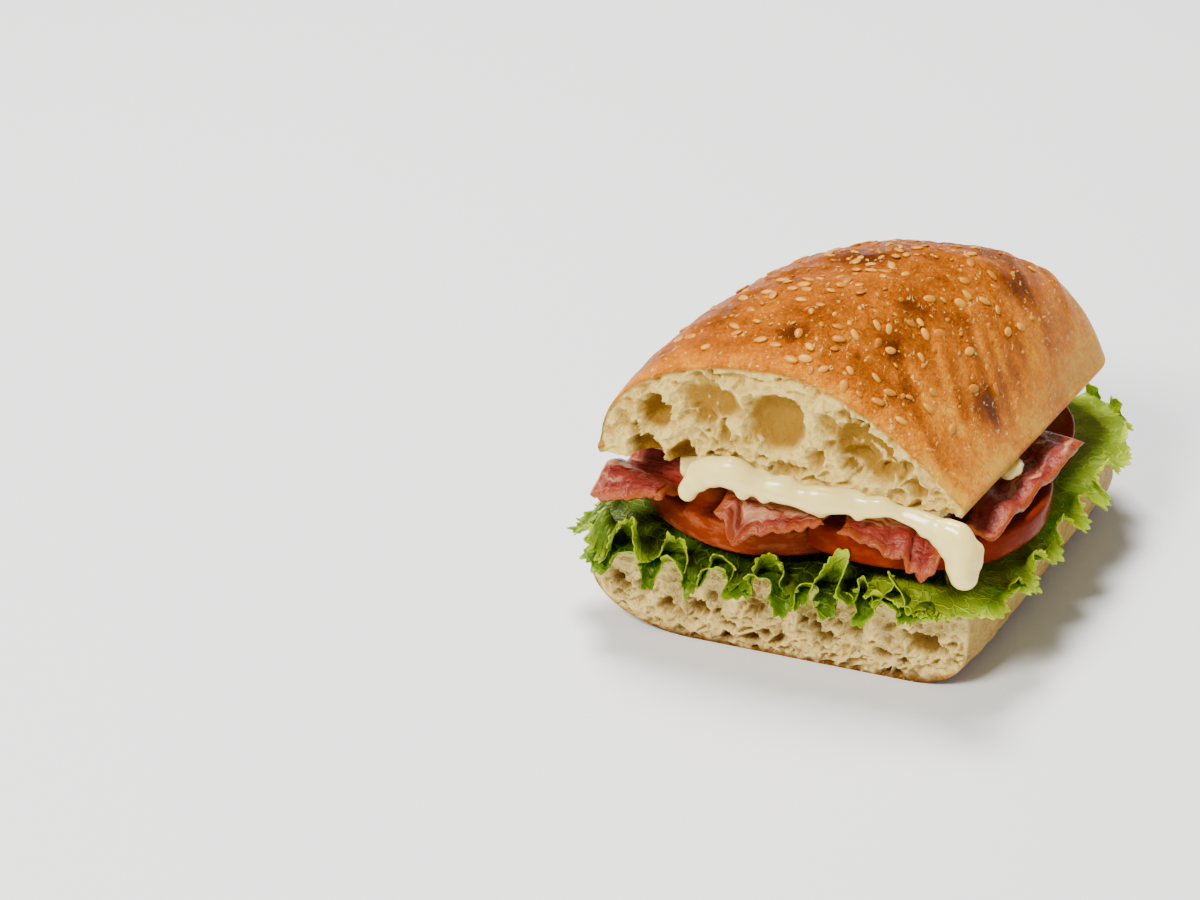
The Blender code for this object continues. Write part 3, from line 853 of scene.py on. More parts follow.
@dataclass(frozen=True)
class RollForm:
    """The outline and the dome that the two halves of the roll share, in millimetres."""

    depth: float = 107.0
    lean: float = 0.175
    rear_rounding: float = 0.6
    crown_half_width: float = 42.6
    crown_offset: float = -1.6
    crown_base: float = 47.2
    crown_tilt: float = math.radians(4.5)
    crown_wall: float = 3.0
    arch_height: float = 27.8
    dome_height: float = 36.3
    dome_peak: float = -0.31
    heel_half_width: float = 46.6
    heel_height: float = 22.0

    def outline(self, a: np.ndarray, b: np.ndarray, half_width: "np.ndarray | float") -> Pair:
        """Finds the place on the roll's outline.

        Args:
            a: -1 at the left and 1 at the right.
            b: -1 at the cut and 1 at the rounded end.
            half_width: Half the width there.

        Returns:
            The places along X and Y.
        """
        start = self.rear_rounding
        rear = np.clip((b - start) / (1 - start), 0.0, 1.0)
        x = half_width * a * np.sqrt(1 - rear**2 / 2)
        along = np.minimum(b, start) + (1 - start) * rear * np.sqrt(1 - a**2 / 2)
        y = self.depth * (along + 1) / 2
        return x + self.lean * y, y

    def dome(self, a: np.ndarray, b: np.ndarray) -> np.ndarray:
        """Works out the crust's height above the crown's underside, without its lumps.

        Args:
            a: -1 at the left and 1 at the right.
            b: -1 at the cut and 1 at the rounded end.

        Returns:
            The height.
        """
        rear = smooth(b, -1.0, 1.0)
        ridge = -0.06 + 0.33 * rear
        left = np.clip((ridge - a) / (1 + ridge), 0.0, 1.0)
        right = np.clip((a - ridge) / (1 - ridge), 0.0, 1.0)
        on_left = (1 - left**2.1) ** (0.43 + 0.2 * rear)
        on_right = (1 - right ** (1.8 + 0.95 * rear)) ** (1.05 - 0.18 * rear)
        rise = np.sin(math.pi / 2 * np.clip((b + 1) / (self.dome_peak + 1), 0.0, 1.0)) ** 0.6
        front = self.arch_height + (self.dome_height - self.arch_height) * rise
        fall = np.clip((b - self.dome_peak) / (1 - self.dome_peak), 0.0, 1.0)
        back = np.maximum(self.dome_height * (1 - fall**2.6) ** 0.54, self.crown_wall)
        ridge_height = np.where(b < self.dome_peak, front, back)
        profile = np.where(a < ridge, on_left, on_right)
        return self.crown_wall + (ridge_height - self.crown_wall) * profile

    def crown(self, a: np.ndarray, b: np.ndarray, c: np.ndarray) -> np.ndarray:
        """Works out the crown's points before it is tilted.

        Args:
            a: -1 at the left and 1 at the right.
            b: -1 at the cut and 1 at the rounded end.
            c: -1 underneath and 1 on the crust.

        Returns:
            The points.
        """
        x, y = self.outline(a, b, self.crown_half_width)
        lift = (c + 1) / 2
        inside = (1 - np.abs(a) ** 6) * (1 - np.abs(b) ** 6)
        level = stacked(x, y)
        lumps = 1.0 * ripple(level, 21.0, 2.0) + 0.5 * ripple(level, 8.0, 2.0)
        bulge = 0.7 * np.sin(math.pi * lift) * (np.abs(a) > SIDE) * np.sign(a)
        height = self.dome(a, b) + lumps * inside
        return stacked(x + self.crown_offset + bulge, y, lift * height)

    def tilted(self, points: np.ndarray) -> np.ndarray:
        """Puts the crown's points in their place on the filling.

        Args:
            points: The points before the crown is tilted.

        Returns:
            The points in the layout.
        """
        cosine, sine = math.cos(self.crown_tilt), math.sin(self.crown_tilt)
        x, y, z = points[..., 0], points[..., 1], points[..., 2]
        return stacked(x, y * cosine + z * sine, self.crown_base - y * sine + z * cosine)

    def ceiling(self, y: "np.ndarray | float") -> "np.ndarray | float":
        """The height of the crown's underside."""
        return self.crown_base - y * math.tan(self.crown_tilt)


# ---------------------------------------------------------------- crumb


@dataclass(frozen=True)
class Bubble:
    """One bubble that the knife opened, in millimetres, with its lean in degrees."""

    x: float
    z: float
    half_width: float
    half_height: float
    depth: float
    lean: float = 0.0


@dataclass(frozen=True)
class Foam:
    """Bubbles that press against each other, with thin walls left between them."""

    count: int
    smallest: float
    largest: float
    depth: float  # of the most open ones, as a share of the radius
    closed: float = 0.5  # the share that the knife only grazed
    wall: float = 0.12


@dataclass
class OpenCrumb:
    """The relief of a cut face: large bubbles in their places and foam between them."""

    large: Sequence[Bubble]
    foams: Sequence[Foam]
    width: tuple[float, float]
    height: tuple[float, float]
    seed: int
    waver: float = 0.55

    @staticmethod
    def carve(x: np.ndarray, z: np.ndarray, bubbles: Sequence[Bubble]) -> Pair:
        """Works out how deep the large bubbles are.

        Args:
            x: Places along X.
            z: Places along Z.
            bubbles: The bubbles.

        Returns:
            The depth at each place, and its distance from the nearest bubble's edge.
        """
        depth, edge = np.zeros_like(x), np.full_like(x, FAR)
        for bubble in bubbles:
            turn = math.radians(bubble.lean)
            dx, dz = x - bubble.x, z - bubble.z
            along = (dx * math.cos(turn) - dz * math.sin(turn)) / bubble.half_width
            up = (dx * math.sin(turn) + dz * math.cos(turn)) / bubble.half_height
            radial = np.sqrt(along**2 + up**2)
            depth = np.maximum(depth, bubble.depth * np.clip(1 - radial**2, 0.0, 1.0) ** 0.55)
            edge = np.minimum(edge, np.abs(radial - 1) * min(bubble.half_width, bubble.half_height))
        return depth, edge

    def fill(self, x: np.ndarray, z: np.ndarray, foam: Foam, draw: random.Random) -> Pair:
        """Fills the face with one size of foam.

        Args:
            x: Places along X.
            z: Places along Z.
            foam: How many bubbles there are and how large.
            draw: The random numbers.

        Returns:
            The depth at each place, and its distance from the nearest wall.
        """
        first, second = np.full_like(x, FAR), np.full_like(x, FAR)
        depth, size = np.zeros_like(x), np.ones_like(x)
        for _ in range(foam.count):
            radius = foam.smallest + (foam.largest - foam.smallest) * draw.random() ** 2
            turn, long = draw.uniform(-1.5, 1.5), draw.uniform(1.0, 1.3)
            dx, dz = x - draw.uniform(*self.width), z - draw.uniform(*self.height)
            along = (dx * math.cos(turn) - dz * math.sin(turn)) / long
            up = (dx * math.sin(turn) + dz * math.cos(turn)) * long**0.5
            away = np.sqrt(along**2 + up**2) - radius
            closer = away < first
            second = np.where(closer, first, np.minimum(second, away))
            first = np.where(closer, away, first)
            share = 0.25 if draw.random() < foam.closed else draw.uniform(0.7, 1.3)
            opened = foam.depth * radius * share
            depth, size = np.where(closer, opened, depth), np.where(closer, radius, size)
        edge = (second - first) / 2
        bowl = 1 - (1 - np.clip((edge - foam.wall) / (0.35 + 0.6 * size), 0.0, 1.0)) ** 2
        return depth * np.sqrt(bowl), edge

    def relief(self, x: np.ndarray, z: np.ndarray) -> Pair:
        """Works out the whole relief.

        Args:
            x: Places along X.
            z: Places along Z.

        Returns:
            How far each place lies behind the cut, and how much it is a bubble's rim.
        """
        draw = random.Random(self.seed)
        level = stacked(x, 0 * x, z)
        wide_x, wide_z = ripple(level, 2.9, 1.0), ripple(level, 2.9, 7.0)
        fine_x, fine_z = ripple(level, 1.0, 4.0), ripple(level, 1.0, 9.0)
        torn_x, torn_z = self.waver * (wide_x + 0.3 * fine_x), self.waver * (wide_z + 0.3 * fine_z)
        depth, edge = self.carve(x + 1.7 * torn_x, z + 1.7 * torn_z, self.large)
        rim = bell(edge, 0.0, 0.35)
        rough = np.clip(0.95 + 0.7 * ripple(level, 8.0, 11.0), 0.45, 1.3)
        for foam in self.foams:
            finer, edge = self.fill(x + torn_x, z + torn_z, foam, draw)
            wall = bell(edge, 0.0, 0.24) * smooth(finer + depth, 3.2, 0.8)
            depth = depth + finer * rough * (1 - 0.88 * smooth(depth, 0.5, 2.6))
            rim = np.maximum(rim * (finer < 0.3), 0.85 * wall)
        depth += 0.6 * ripple(level, 6.0, 3.0) + 0.12 * ripple(level, 1.6, 5.0)
        return depth, rim


def edge_distance(points: np.ndarray, edge: np.ndarray) -> np.ndarray:
    """Measures distances in X and Z.

    Args:
        points: The points.
        edge: The points of an edge.

    Returns:
        Each point's distance from the edge's nearest point.
    """
    nearest = np.full(len(points), FAR**2)
    for x, z in edge[:, (0, 2)]:
        nearest = np.minimum(nearest, (points[:, 0] - x) ** 2 + (points[:, 2] - z) ** 2)
    return np.sqrt(nearest)


# ---------------------------------------------------------------- crown


@dataclass
class Crown:
    """The upper half of the roll: a lumpy baked crust over open crumb."""

    bench: Bench
    form: RollForm
    cells: tuple[int, int, int] = (280, 90, 84)
    crowding: float = 1.35  # draws the cells towards the cut
    skin: float = 0.55  # how far the bake shows in the cut
    large: tuple[tuple[float, ...], ...] = (  # the fields of each Bubble
        (-31.5, 12.2, 4.2, 4.0, 6.5), (-18.8, 17.6, 8.0, 5.2, 3.8, 8),
        (-21.0, 14.0, 4.0, 3.4, 4.0, 20), (-3.6, 14.8, 7.4, 7.8, 5.2, 20),
        (17.6, 11.4, 9.4, 5.4, 6.2, 33), (16.0, 8.6, 4.4, 3.2, 7.4, 20),
        (-33.4, 2.6, 4.4, 4.0, 8.0), (-24.8, 2.2, 3.8, 3.6, 8.0), (-14.0, 24.6, 4.0, 1.4, 2.2),
        (-1.0, 3.4, 3.4, 2.4, 2.6), (6.6, 7.4, 2.2, 3.0, 3.2, 15), (30.0, 4.4, 3.6, 2.0, 3.0, 35),
        (-39.2, 9.5, 1.8, 3.0, 2.6, -20), (8.6, 17.6, 3.0, 2.2, 2.0, 25),
        (-10.6, 8.2, 3.4, 2.0, 1.8, -15), (-21.0, 8.0, 4.6, 2.4, 1.6, 10),
        (25.0, 7.4, 2.6, 1.6, 2.4, 40), (2.6, 22.6, 4.0, 1.3, 1.4, 15),
        (36.0, 3.4, 2.0, 1.4, 1.8, 30), (-22.4, 23.2, 1.7, 1.0, 2.4, 10),
        (-9.0, 25.0, 2.0, 0.9, 2.0, 5), (-3.4, 25.6, 1.6, 0.8, 2.0, 10),
        (5.6, 23.6, 1.2, 1.7, 2.4, 20), (11.8, 19.6, 1.9, 2.4, 2.4, 35),
        (9.4, 11.6, 1.4, 1.8, 2.6, 10), (21.6, 7.0, 1.7, 1.3, 6.4, 20),
        (-26.4, 20.6, 1.6, 1.2, 2.0, -10), (-11.8, 15.0, 1.2, 1.8, 2.2, 5),
        (24.0, 15.6, 1.5, 1.1, 2.0, 40), (28.6, 12.0, 1.3, 1.0, 2.0, 40),
        (-6.0, 5.4, 1.8, 1.3, 2.4, -10), (3.4, 3.6, 1.4, 1.1, 2.4, 10),
    )
    blotches: tuple[tuple[float, ...], ...] = (  # x, y, radius and strength
        (-3.1, 10.9, 3.2, 0.62), (17.8, 21.2, 3.9, 0.50), (38.8, 30.0, 5.6, 0.62),
        (4.7, 51.7, 5.2, 0.50), (-3.0, 56.0, 4.6, 0.32), (37.0, 68.2, 5.0, 0.45),
        (28.0, 75.0, 6.0, 0.30), (19.9, 36.2, 4.6, 0.42), (-12.0, 34.0, 6.0, 0.20),
        (-20.0, 18.0, 5.0, 0.16), (8.0, 66.0, 8.0, 0.25), (30.0, 42.0, 4.0, 0.24),
        (24.0, 14.0, 3.4, 0.22),
    )

    def bake(self, a: np.ndarray, b: np.ndarray, points: np.ndarray) -> np.ndarray:
        """How dark the crust is baked, from 0 to 1.

        Args:
            a: Places across the roll, from -1 to 1.
            b: Places along it, from -1 to 1.
            points: The crust's points before the crown is tilted.

        Returns:
            The bake at each place.
        """
        x, y = points[:, 0], points[:, 1]
        flat = stacked(x, y)
        level = 0.50 + 0.16 * ripple(flat, 15.0, 6.0) + 0.14 * ripple(flat, 5.0, 8.0)
        level -= 0.12 * smooth(a, 0.30, 0.85)
        level -= 0.30 * smooth(np.abs(a), 0.80, 1.0)
        level -= 0.16 * smooth(b, 0.55, 0.95)
        level -= 0.26 * smooth(y, 6.5, 0.0)
        slanted = stacked(0.16 * (x - y), x + y)
        right_slope = smooth(a, 0.25, 0.6) * smooth(a, 1.0, 0.8)
        level += 0.36 * ripple(slanted, 4.2, 2.0) * right_slope
        uneven = 0.95 + 0.5 * ripple(flat, 2.6, 4.0)
        return level + 1.1 * uneven * spots(points, self.blotches)

    def make(self, look: bpy.types.Material) -> bpy.types.Object:
        """Builds the crown.

        Args:
            look: Its material.

        Returns:
            The closed piece.
        """
        mesh = mesh_of(divided_cube(self.cells, ((2, -1),)), "crown")
        a, b, c = crowded(mesh, self.crowding)
        points = self.form.crown(a, b, c)
        cut = b < -SIDE
        outside = (c > SIDE) | (np.abs(a) > SIDE) | (b > SIDE)
        flat = points * (1, 1, 0)
        fine = 0.60 * ripple(flat, 4.6, 1.0) + 0.26 * ripple(flat, 1.9, 4.0)
        x, y = points[:, 0], points[:, 1]
        folds = ripple(stacked(0.2 * (x - y), x + y), 5.0, 2.0)
        fine += 0.55 * folds * smooth(a, 0.2, 0.6)
        points[:, 2] += fine * (c > SIDE) * (1 - a**8) * (1 - np.abs(b) ** 20)
        points[:, 1] += 0.55 * ripple(points * (1, 0, 1), 3.2, 6.0) * np.exp(-points[:, 1] / 1.5)
        points[c < -SIDE, 2] += 0.45 * ripple(points[c < -SIDE], 3.0, 8.0) + 0.2
        from_crust = edge_distance(points[cut], points[cut & outside])
        crumb = OpenCrumb(
            [Bubble(*row) for row in self.large],
            (Foam(240, 0.7, 2.2, 1.5, 0.35), Foam(900, 0.3, 0.7, 0.8, 0.75)),
            (-46.0, 44.0), (-1.0, 29.0), 5,
        )
        depth, rim = crumb.relief(points[cut, 0], points[cut, 2])
        depth = np.maximum(depth, -0.4) * smooth(from_crust, 0.1, 1.3)
        points[cut] += depth[:, None] * np.array((self.form.lean, 1.0, 0.0))
        marks = {name: np.zeros(len(points)) for name in ("crust", "bake", "painted_hollow_shade", "rim")}
        marks["crust"][outside] = 1.0
        marks["crust"][cut] = bell(from_crust, 0.0, self.skin)
        marks["bake"] = self.bake(a, b, points)
        # Painted shade, darker in the deeper hollows of the cut.
        marks["painted_hollow_shade"][cut] = smooth(depth, 0.4, 3.6)
        # Painted highlight along the bubbles' rims.
        marks["rim"][cut] = rim
        return self.bench.formed(mesh, self.form.tilted(points), marks, look)


@dataclass
class Sesame:
    """Sesame seeds, thickest on the crown's ridge."""

    bench: Bench
    form: RollForm
    count: int = 190
    spacing: float = 2.7
    half_size: tuple[float, float, float] = (1.60, 1.12, 0.42)
    sunk: float = 0.04
    chosen: tuple[tuple[float, float], ...] = (  # seeds in known places
        (24.8, 21.9), (24.0, 23.5), (32.1, 25.3), (34.2, 15.7), (15.0, 3.1), (19.0, 4.5),
        (23.3, 10.6), (24.5, 11.8), (-21.5, 5.2), (4.2, 19.9), (7.1, 13.1), (36.0, 46.3),
        (33.4, 40.1), (26.3, 39.1), (30.2, 44.2), (24.0, 43.9), (8.7, 25.0), (10.0, 16.7),
    )

    def surface(self, x: float, y: float) -> tuple[Vector, Vector]:
        """Finds the crust above a place.

        Args:
            x: The place along X, before the crown is tilted.
            y: The place along Y.

        Returns:
            The point on the crust and the direction away from it.
        """
        half = self.form.crown_half_width

        def crust(px: float, py: float) -> Vector:
            """Finds a point of the crust.

            Args:
                px: Its place along X, before the crown is tilted.
                py: Its place along Y.

            Returns:
                The point.
            """
            across = (px - self.form.crown_offset - self.form.lean * py) / half
            place = np.array([across]), np.array([2 * py / self.form.depth - 1]), np.array([1.0])
            return Vector(self.form.tilted(self.form.crown(*place))[0])

        step = 0.4
        across = crust(x + step, y) - crust(x - step, y)
        along = crust(x, y + step) - crust(x, y - step)
        return crust(x, y), across.cross(along).normalized()

    def places(self, draw: random.Random) -> list[tuple[float, float]]:
        """Spreads the seeds over the crust.

        Args:
            draw: The random numbers.

        Returns:
            Their places along X and Y.
        """
        made = list(self.chosen)
        while len(made) < self.count:
            y = draw.uniform(2.0, 84.0)
            x = draw.uniform(-36.0, 34.0) + self.form.lean * y
            clump = 0.55 + 1.3 * noise.noise(Vector((x / 7.0, y / 7.0, 3.0)))
            wanted = clump * math.exp(-(((x - 1 - 0.1 * y) / 18) ** 2) - ((y - 40) / 30) ** 2)
            wanted += 0.45 * math.exp(-(((x - 29) / 8) ** 2) - ((y - 54) / 17) ** 2)
            if draw.random() > wanted + 0.035:
                continue
            if all(math.dist((x, y), other) > self.spacing for other in made):
                made.append((x, y))
        return made

    def make(self, look: bpy.types.Material) -> bpy.types.Object:
        """Builds all the seeds as one piece.

        Args:
            look: Their material.

        Returns:
            The piece.
        """
        draw = random.Random(23)
        bm = bmesh.new()
        layer = bm.verts.layers.float.new("shade")
        for x, y in self.places(draw):
            point, normal = self.surface(x, y)
            made = bmesh.ops.create_uvsphere(bm, u_segments=8, v_segments=6, radius=1.0)
            turn = normal.to_track_quat("Z", "Y").to_matrix().to_4x4()
            turn = turn @ Matrix.Rotation(draw.uniform(0, 2 * math.pi), 4, "Z")
            rock = Euler((draw.uniform(-0.25, 0.25), draw.uniform(-0.2, 0.2), 0))
            turn = turn @ rock.to_matrix().to_4x4()
            scale = draw.uniform(0.82, 1.12) if draw.random() < 0.6 else draw.uniform(0.42, 0.75)
            shade = draw.random() + 0.35 * (scale < 0.76)
            for vertex in made["verts"]:
                taper = 1.06 - 0.22 * (vertex.co.z + 1) / 2
                across = Vector((vertex.co.z, vertex.co.x * taper, vertex.co.y * taper))
                size = Vector(self.half_size) * scale
                local = Vector((across.x * size.x, across.y * size.y, across.z * size.z))
                vertex.co = self.bench.place(point + turn @ local + normal * self.sunk)
                vertex[layer] = shade
        bmesh.ops.recalc_face_normals(bm, faces=bm.faces)
        return self.bench.finished("sesame", mesh_of(bm, "sesame"), look)


# ---------------------------------------------------------------- heel


@dataclass
class Heel:
    """The lower half of the roll: fine crumb in a thin floury skin."""

    bench: Bench
    form: RollForm
    cells: tuple[int, int, int] = (320, 70, 78)
    crowding: float = 1.3
    left_corner: tuple[float, float] = (26.0, 16.0)  # reach and height of its rounding
    right_corner: tuple[float, float] = (13.0, 10.0)
    pinch: float = 2.0
    large: tuple[tuple[float, ...], ...] = (  # the fields of each Bubble
        (34.2, 10.8, 4.0, 3.2, 5.0, 10), (-20.0, 8.4, 2.9, 2.0, 3.6, 10),
        (-28.0, 7.6, 2.2, 2.0, 3.6), (-40.3, 13.0, 2.3, 2.0, 3.6, -30),
        (10.8, 7.4, 3.0, 1.9, 3.2, 15), (25.0, 5.6, 2.4, 1.7, 3.2), (-6.5, 12.6, 3.1, 1.8, 2.8),
        (-33.5, 11.6, 1.8, 2.4, 2.8, 15), (-12.6, 5.4, 2.0, 1.3, 2.8), (0.8, 5.0, 1.7, 1.4, 2.8),
        (17.8, 11.4, 2.2, 1.5, 2.8, 20),
    )

    def points(self, a: np.ndarray, b: np.ndarray, c: np.ndarray) -> np.ndarray:
        """Works out the heel's points, with its lower edge rounded away from the cut.

        Args:
            a: -1 at the left and 1 at the right.
            b: -1 at the cut and 1 at the rounded end.
            c: -1 underneath and 1 on top.

        Returns:
            The points.
        """
        height = self.form.heel_height * ((c + 1) / 2) ** 1.35
        share = (a + 1) / 2
        reach = self.left_corner[0] + (self.right_corner[0] - self.left_corner[0]) * share
        rise = self.left_corner[1] + (self.right_corner[1] - self.left_corner[1]) * share
        inset = reach * (1 - np.sqrt(1 - np.clip(1 - height / rise, 0.0, 1.0) ** 2))
        x, y = self.form.outline(a, b, self.form.heel_half_width - inset)
        x = x - self.pinch * np.maximum(a, 0.0) * np.exp(-y / 12.0)
        y = y - inset * np.maximum(b, 0.0) ** 2
        waver = 0.8 * ripple(stacked(x, y, height), 17.0, 8.0) * np.clip(height / rise, 0.0, 1.0)
        x = x + waver * (np.abs(a) > SIDE) * np.sign(a)
        return stacked(x, y + waver * (b > SIDE), height)

    def make(self, look: bpy.types.Material) -> bpy.types.Object:
        """Builds the heel.

        Args:
            look: Its material.

        Returns:
            The closed piece.
        """
        mesh = mesh_of(divided_cube(self.cells, ((2, -1), (2, 1))), "heel")
        a, b, c = crowded(mesh, self.crowding)
        points = self.points(a, b, c)
        cut = b < -SIDE
        outside = (np.abs(a) > SIDE) | (b > SIDE) | (c < -SIDE)
        wrinkle = ripple(points / np.array((1.0, 1.0, 2.2)), 3.0, 5.0)
        wrinkle += 0.5 * ripple(points, 1.4, 2.0)
        side = (np.abs(a) > SIDE) * np.sign(a)
        points[:, 0] += 0.28 * wrinkle * side * ~cut
        points[:, 1] += 0.28 * wrinkle * (b > SIDE)
        from_skin = edge_distance(points[cut], points[cut & outside])
        crumb = OpenCrumb(
            [Bubble(*row) for row in self.large],
            (Foam(560, 0.55, 1.8, 1.7, 0.16), Foam(1300, 0.22, 0.45, 0.6, 0.70)),
            (-48.0, 48.0), (0.0, 22.5), 9, 0.28,
        )
        depth, rim = crumb.relief(points[cut, 0], points[cut, 2])
        lower = 0.50 + 0.55 * smooth(points[cut, 2], 20.0, 9.0)
        depth = np.maximum(depth, -0.4) * smooth(from_skin, 0.1, 1.4) * lower
        points[cut] += depth[:, None] * np.array((self.form.lean, 1.0, 0.0))
        marks = {name: np.zeros(len(points)) for name in ("crust", "bake", "painted_hollow_shade", "rim")}
        marks["crust"][outside] = 1.0
        low = smooth(points[:, 2], 9.0, 1.0)
        reach = 0.35 + 1.9 * low * np.clip(0.5 + 1.4 * ripple(points, 2.0, 3.0), 0.0, 1.0)
        marks["crust"][cut] = bell(from_skin, 0.0, np.maximum(reach[cut], 0.2))
        patches = 0.16 * ripple(points, 8.0, 2.0) + 0.12 * ripple(points, 2.6, 6.0)
        marks["bake"] = 0.14 + patches + 0.66 * smooth(points[:, 2], 5.0, 1.0)
        # Painted shade, darker in the deeper hollows of the cut.
        marks["painted_hollow_shade"][cut] = smooth(depth, 0.4, 2.4)
        # Painted highlight along the bubbles' rims.
        marks["rim"][cut] = rim
        return self.bench.formed(mesh, points, marks, look)


# ---------------------------------------------------------------- lettuce


@dataclass
class Leaf:
    """A frilled lettuce leaf along part of the heel's rim.

    The rim is measured in sides: 0 to 1 along the cut, to 2 up the right side, to 3 round the
    rear and to 4 down the left side.
    """

    bench: Bench
    form: RollForm
    name: str
    node: str
    layer: int
    start: float
    end: float
    pitch: float
    reach: tuple[float, float, float]
    rise: float
    droop: float
    columns: int
    quiet: tuple[tuple[float, float], ...] = ()
    peaks: tuple[tuple[float, float, float], ...] = ()  # place, half width and extra height
    rows: int = 30
    seed: float = 0.0
    inside: float = 15.0
    hem: float = 2.2
    inner: float = 0.20
    meander: float = 0.13
    solid_thickness: float = 0.7
    thickness: float = 0.26
    base_lift: float = 0.0
    mounds: tuple[tuple[float, float, float], ...] = ()  # place, half width and height inside

    def rim_point(self, u: np.ndarray) -> np.ndarray:
        """Walks round the heel's upper outline.

        Args:
            u: Places along it, in sides.

        Returns:
            The points.
        """
        side, share = np.floor(u).astype(int) % 4, 2 * (u % 1) - 1
        one = np.ones_like(share)
        a = np.choose(side, (share, one, -share, -one))
        b = np.choose(side, (-one, share, one, -share))
        x, y = self.form.outline(a, b, self.form.heel_half_width)
        return stacked(x, y)

    def rim(self, u: np.ndarray) -> tuple[np.ndarray, np.ndarray, np.ndarray]:
        """The rounded outline.

        Args:
            u: Places along it.

        Returns:
            The points, the directions outwards and those along it.
        """
        window = [0.03 * step for step in range(-4, 5)]

        def rounded(middle: np.ndarray) -> np.ndarray:
            """The outline with its corners averaged away."""
            return sum(self.rim_point(middle + w) for w in window) / len(window)

        along = rounded(u + 0.04) - rounded(u - 0.04)
        along /= np.linalg.norm(along, axis=-1, keepdims=True)
        return rounded(u), stacked(along[:, 1], -along[:, 0]), along

    def calm(self, u: np.ndarray) -> np.ndarray:
        """Finds the quiet stretches of the frill.

        Args:
            u: Places along the rim.

        Returns:
            1 where the frill swings freely, less in a quiet stretch.
        """
        calm = np.ones_like(u)
        for centre, half_width in self.quiet:
            calm -= 0.85 * bell(u, centre, half_width)
        return np.maximum(calm, 0.15)

    def wandering(self, u: np.ndarray, size: float, seed: float) -> np.ndarray:
        """Smooth noise along the rim, with bumps of size pitches."""
        return ripple(stacked(u / self.pitch, self.seed), size, seed)

    def notches(self, u: np.ndarray) -> np.ndarray:
        """Cuts teeth into the margin.

        Args:
            u: Places along the rim.

        Returns:
            How far it is cut in, as a share of the frill.
        """
        beat = u / self.pitch * 4.1 + 1.3 * self.wandering(u, 0.7, 1.0)
        tooth = np.abs((beat % 1.0) - 0.5) * 2
        small = np.abs(((beat * 2.7 + 0.3) % 1.0) - 0.5) * 2
        deep = np.clip(0.5 + self.wandering(u, 0.45, 6.0), 0.1, 1.0)
        return 0.42 * tooth**1.2 * deep + 0.15 * small**1.3 + 0.14 * (0.5 + self.wandering(u, 0.8, 9.0))

    def surface(self) -> tuple[np.ndarray, Marks]:
        """Works out the leaf's points.

        Returns:
            The points by column and row, and the marks frill, along, across and the painted light and
            shade of the ruffles.
        """
        u = np.linspace(self.start, self.end, self.columns + 1)
        s = np.linspace(0.0, 1.0, self.columns + 1)
        t = np.linspace(0.0, 1.0, self.rows + 1)
        rim, outward, along = (part[:, None, :] for part in self.rim(u))
        calm = self.calm(u)[:, None]
        rate = 1 + 0.9 * self.wandering(u, 1.7, 3.0)
        phase = (2 * math.pi * np.cumsum(rate) * (u[1] - u[0]) / self.pitch)[:, None]
        swing = np.sin(phase)
        tall = np.clip(0.75 + 0.9 * self.wandering(u, 1.1, 5.0), 0.2, 1.4)[:, None]
        far = (1 + 0.35 * self.wandering(u, 1.4, 7.0))[:, None]
        peak = sum((high * bell(u, place, half) for place, half, high in self.peaks), 0 * u)[:, None]
        first, middle, last = self.reach
        reach = (first * (1 - s) ** 2 + 2 * middle * s * (1 - s) + last * s**2 - self.hem)[:, None] * far
        frill = np.clip((t - self.inner) / (1 - self.inner), 0.0, 1.0)[None, :]
        frill = frill * (1 - self.notches(u)[:, None] * frill**2)
        flat = np.clip(t / self.inner, 0.0, 1.0)[None, :]
        standing = np.clip(peak / 9.0, 0.0, 1.0)
        out = -self.inside + flat * (self.inside + self.hem)
        out = out + frill * reach * (1 - 0.5 * swing * calm) * (1 - 0.45 * standing) / 1.3
        up = self.rise * tall * np.maximum(swing, 0) ** 0.8
        down = self.droop * far * np.maximum(-swing, 0)
        lift = frill**0.85 * calm * (up - down * (1 - standing)) - 0.8 * frill * (1 - calm)
        lift = lift + frill**0.8 * peak
        mound = sum((high * bell(u, place, half) for place, half, high in self.mounds), 0 * u)
        lift = lift + mound[:, None] * np.sin(math.pi * np.clip(t * 1.1, 0.0, 1.0))[None, :] ** 1.5
        step = np.linalg.norm(rim[1:, 0] - rim[:-1, 0], axis=-1)
        travelled = np.concatenate(((0.0,), np.cumsum(step)))[:, None]
        wave = self.pitch * RIM_SIDE
        shift = -self.meander * wave * frill**1.4 * np.sin(2 * phase) * calm
        shift = shift + frill * (up + peak) * 0.55 * self.wandering(u, 2.3, 12.0)[:, None]
        base = self.form.heel_height + (self.layer + 1) * (GAP + self.solid_thickness) + self.base_lift
        points = rim + outward * out[..., None] + along * shift[..., None]
        points = points + np.array((0.0, 0.0, 1.0)) * (base + lift)[..., None]
        marks = {
            "frill": frill + 0 * out,
            "along": travelled + 0 * out,
            "across": out + np.abs(lift),
            # Painted light on the ruffles' upswings and standing peaks, painted shade where they droop.
            "painted_ruffle_light": np.clip(0.5 + 0.5 * swing * calm + 0.5 * standing, 0.0, 1.0) + 0 * out,
        }
        return self.crinkled(points, frill + 0 * out, phase + 0 * out), marks

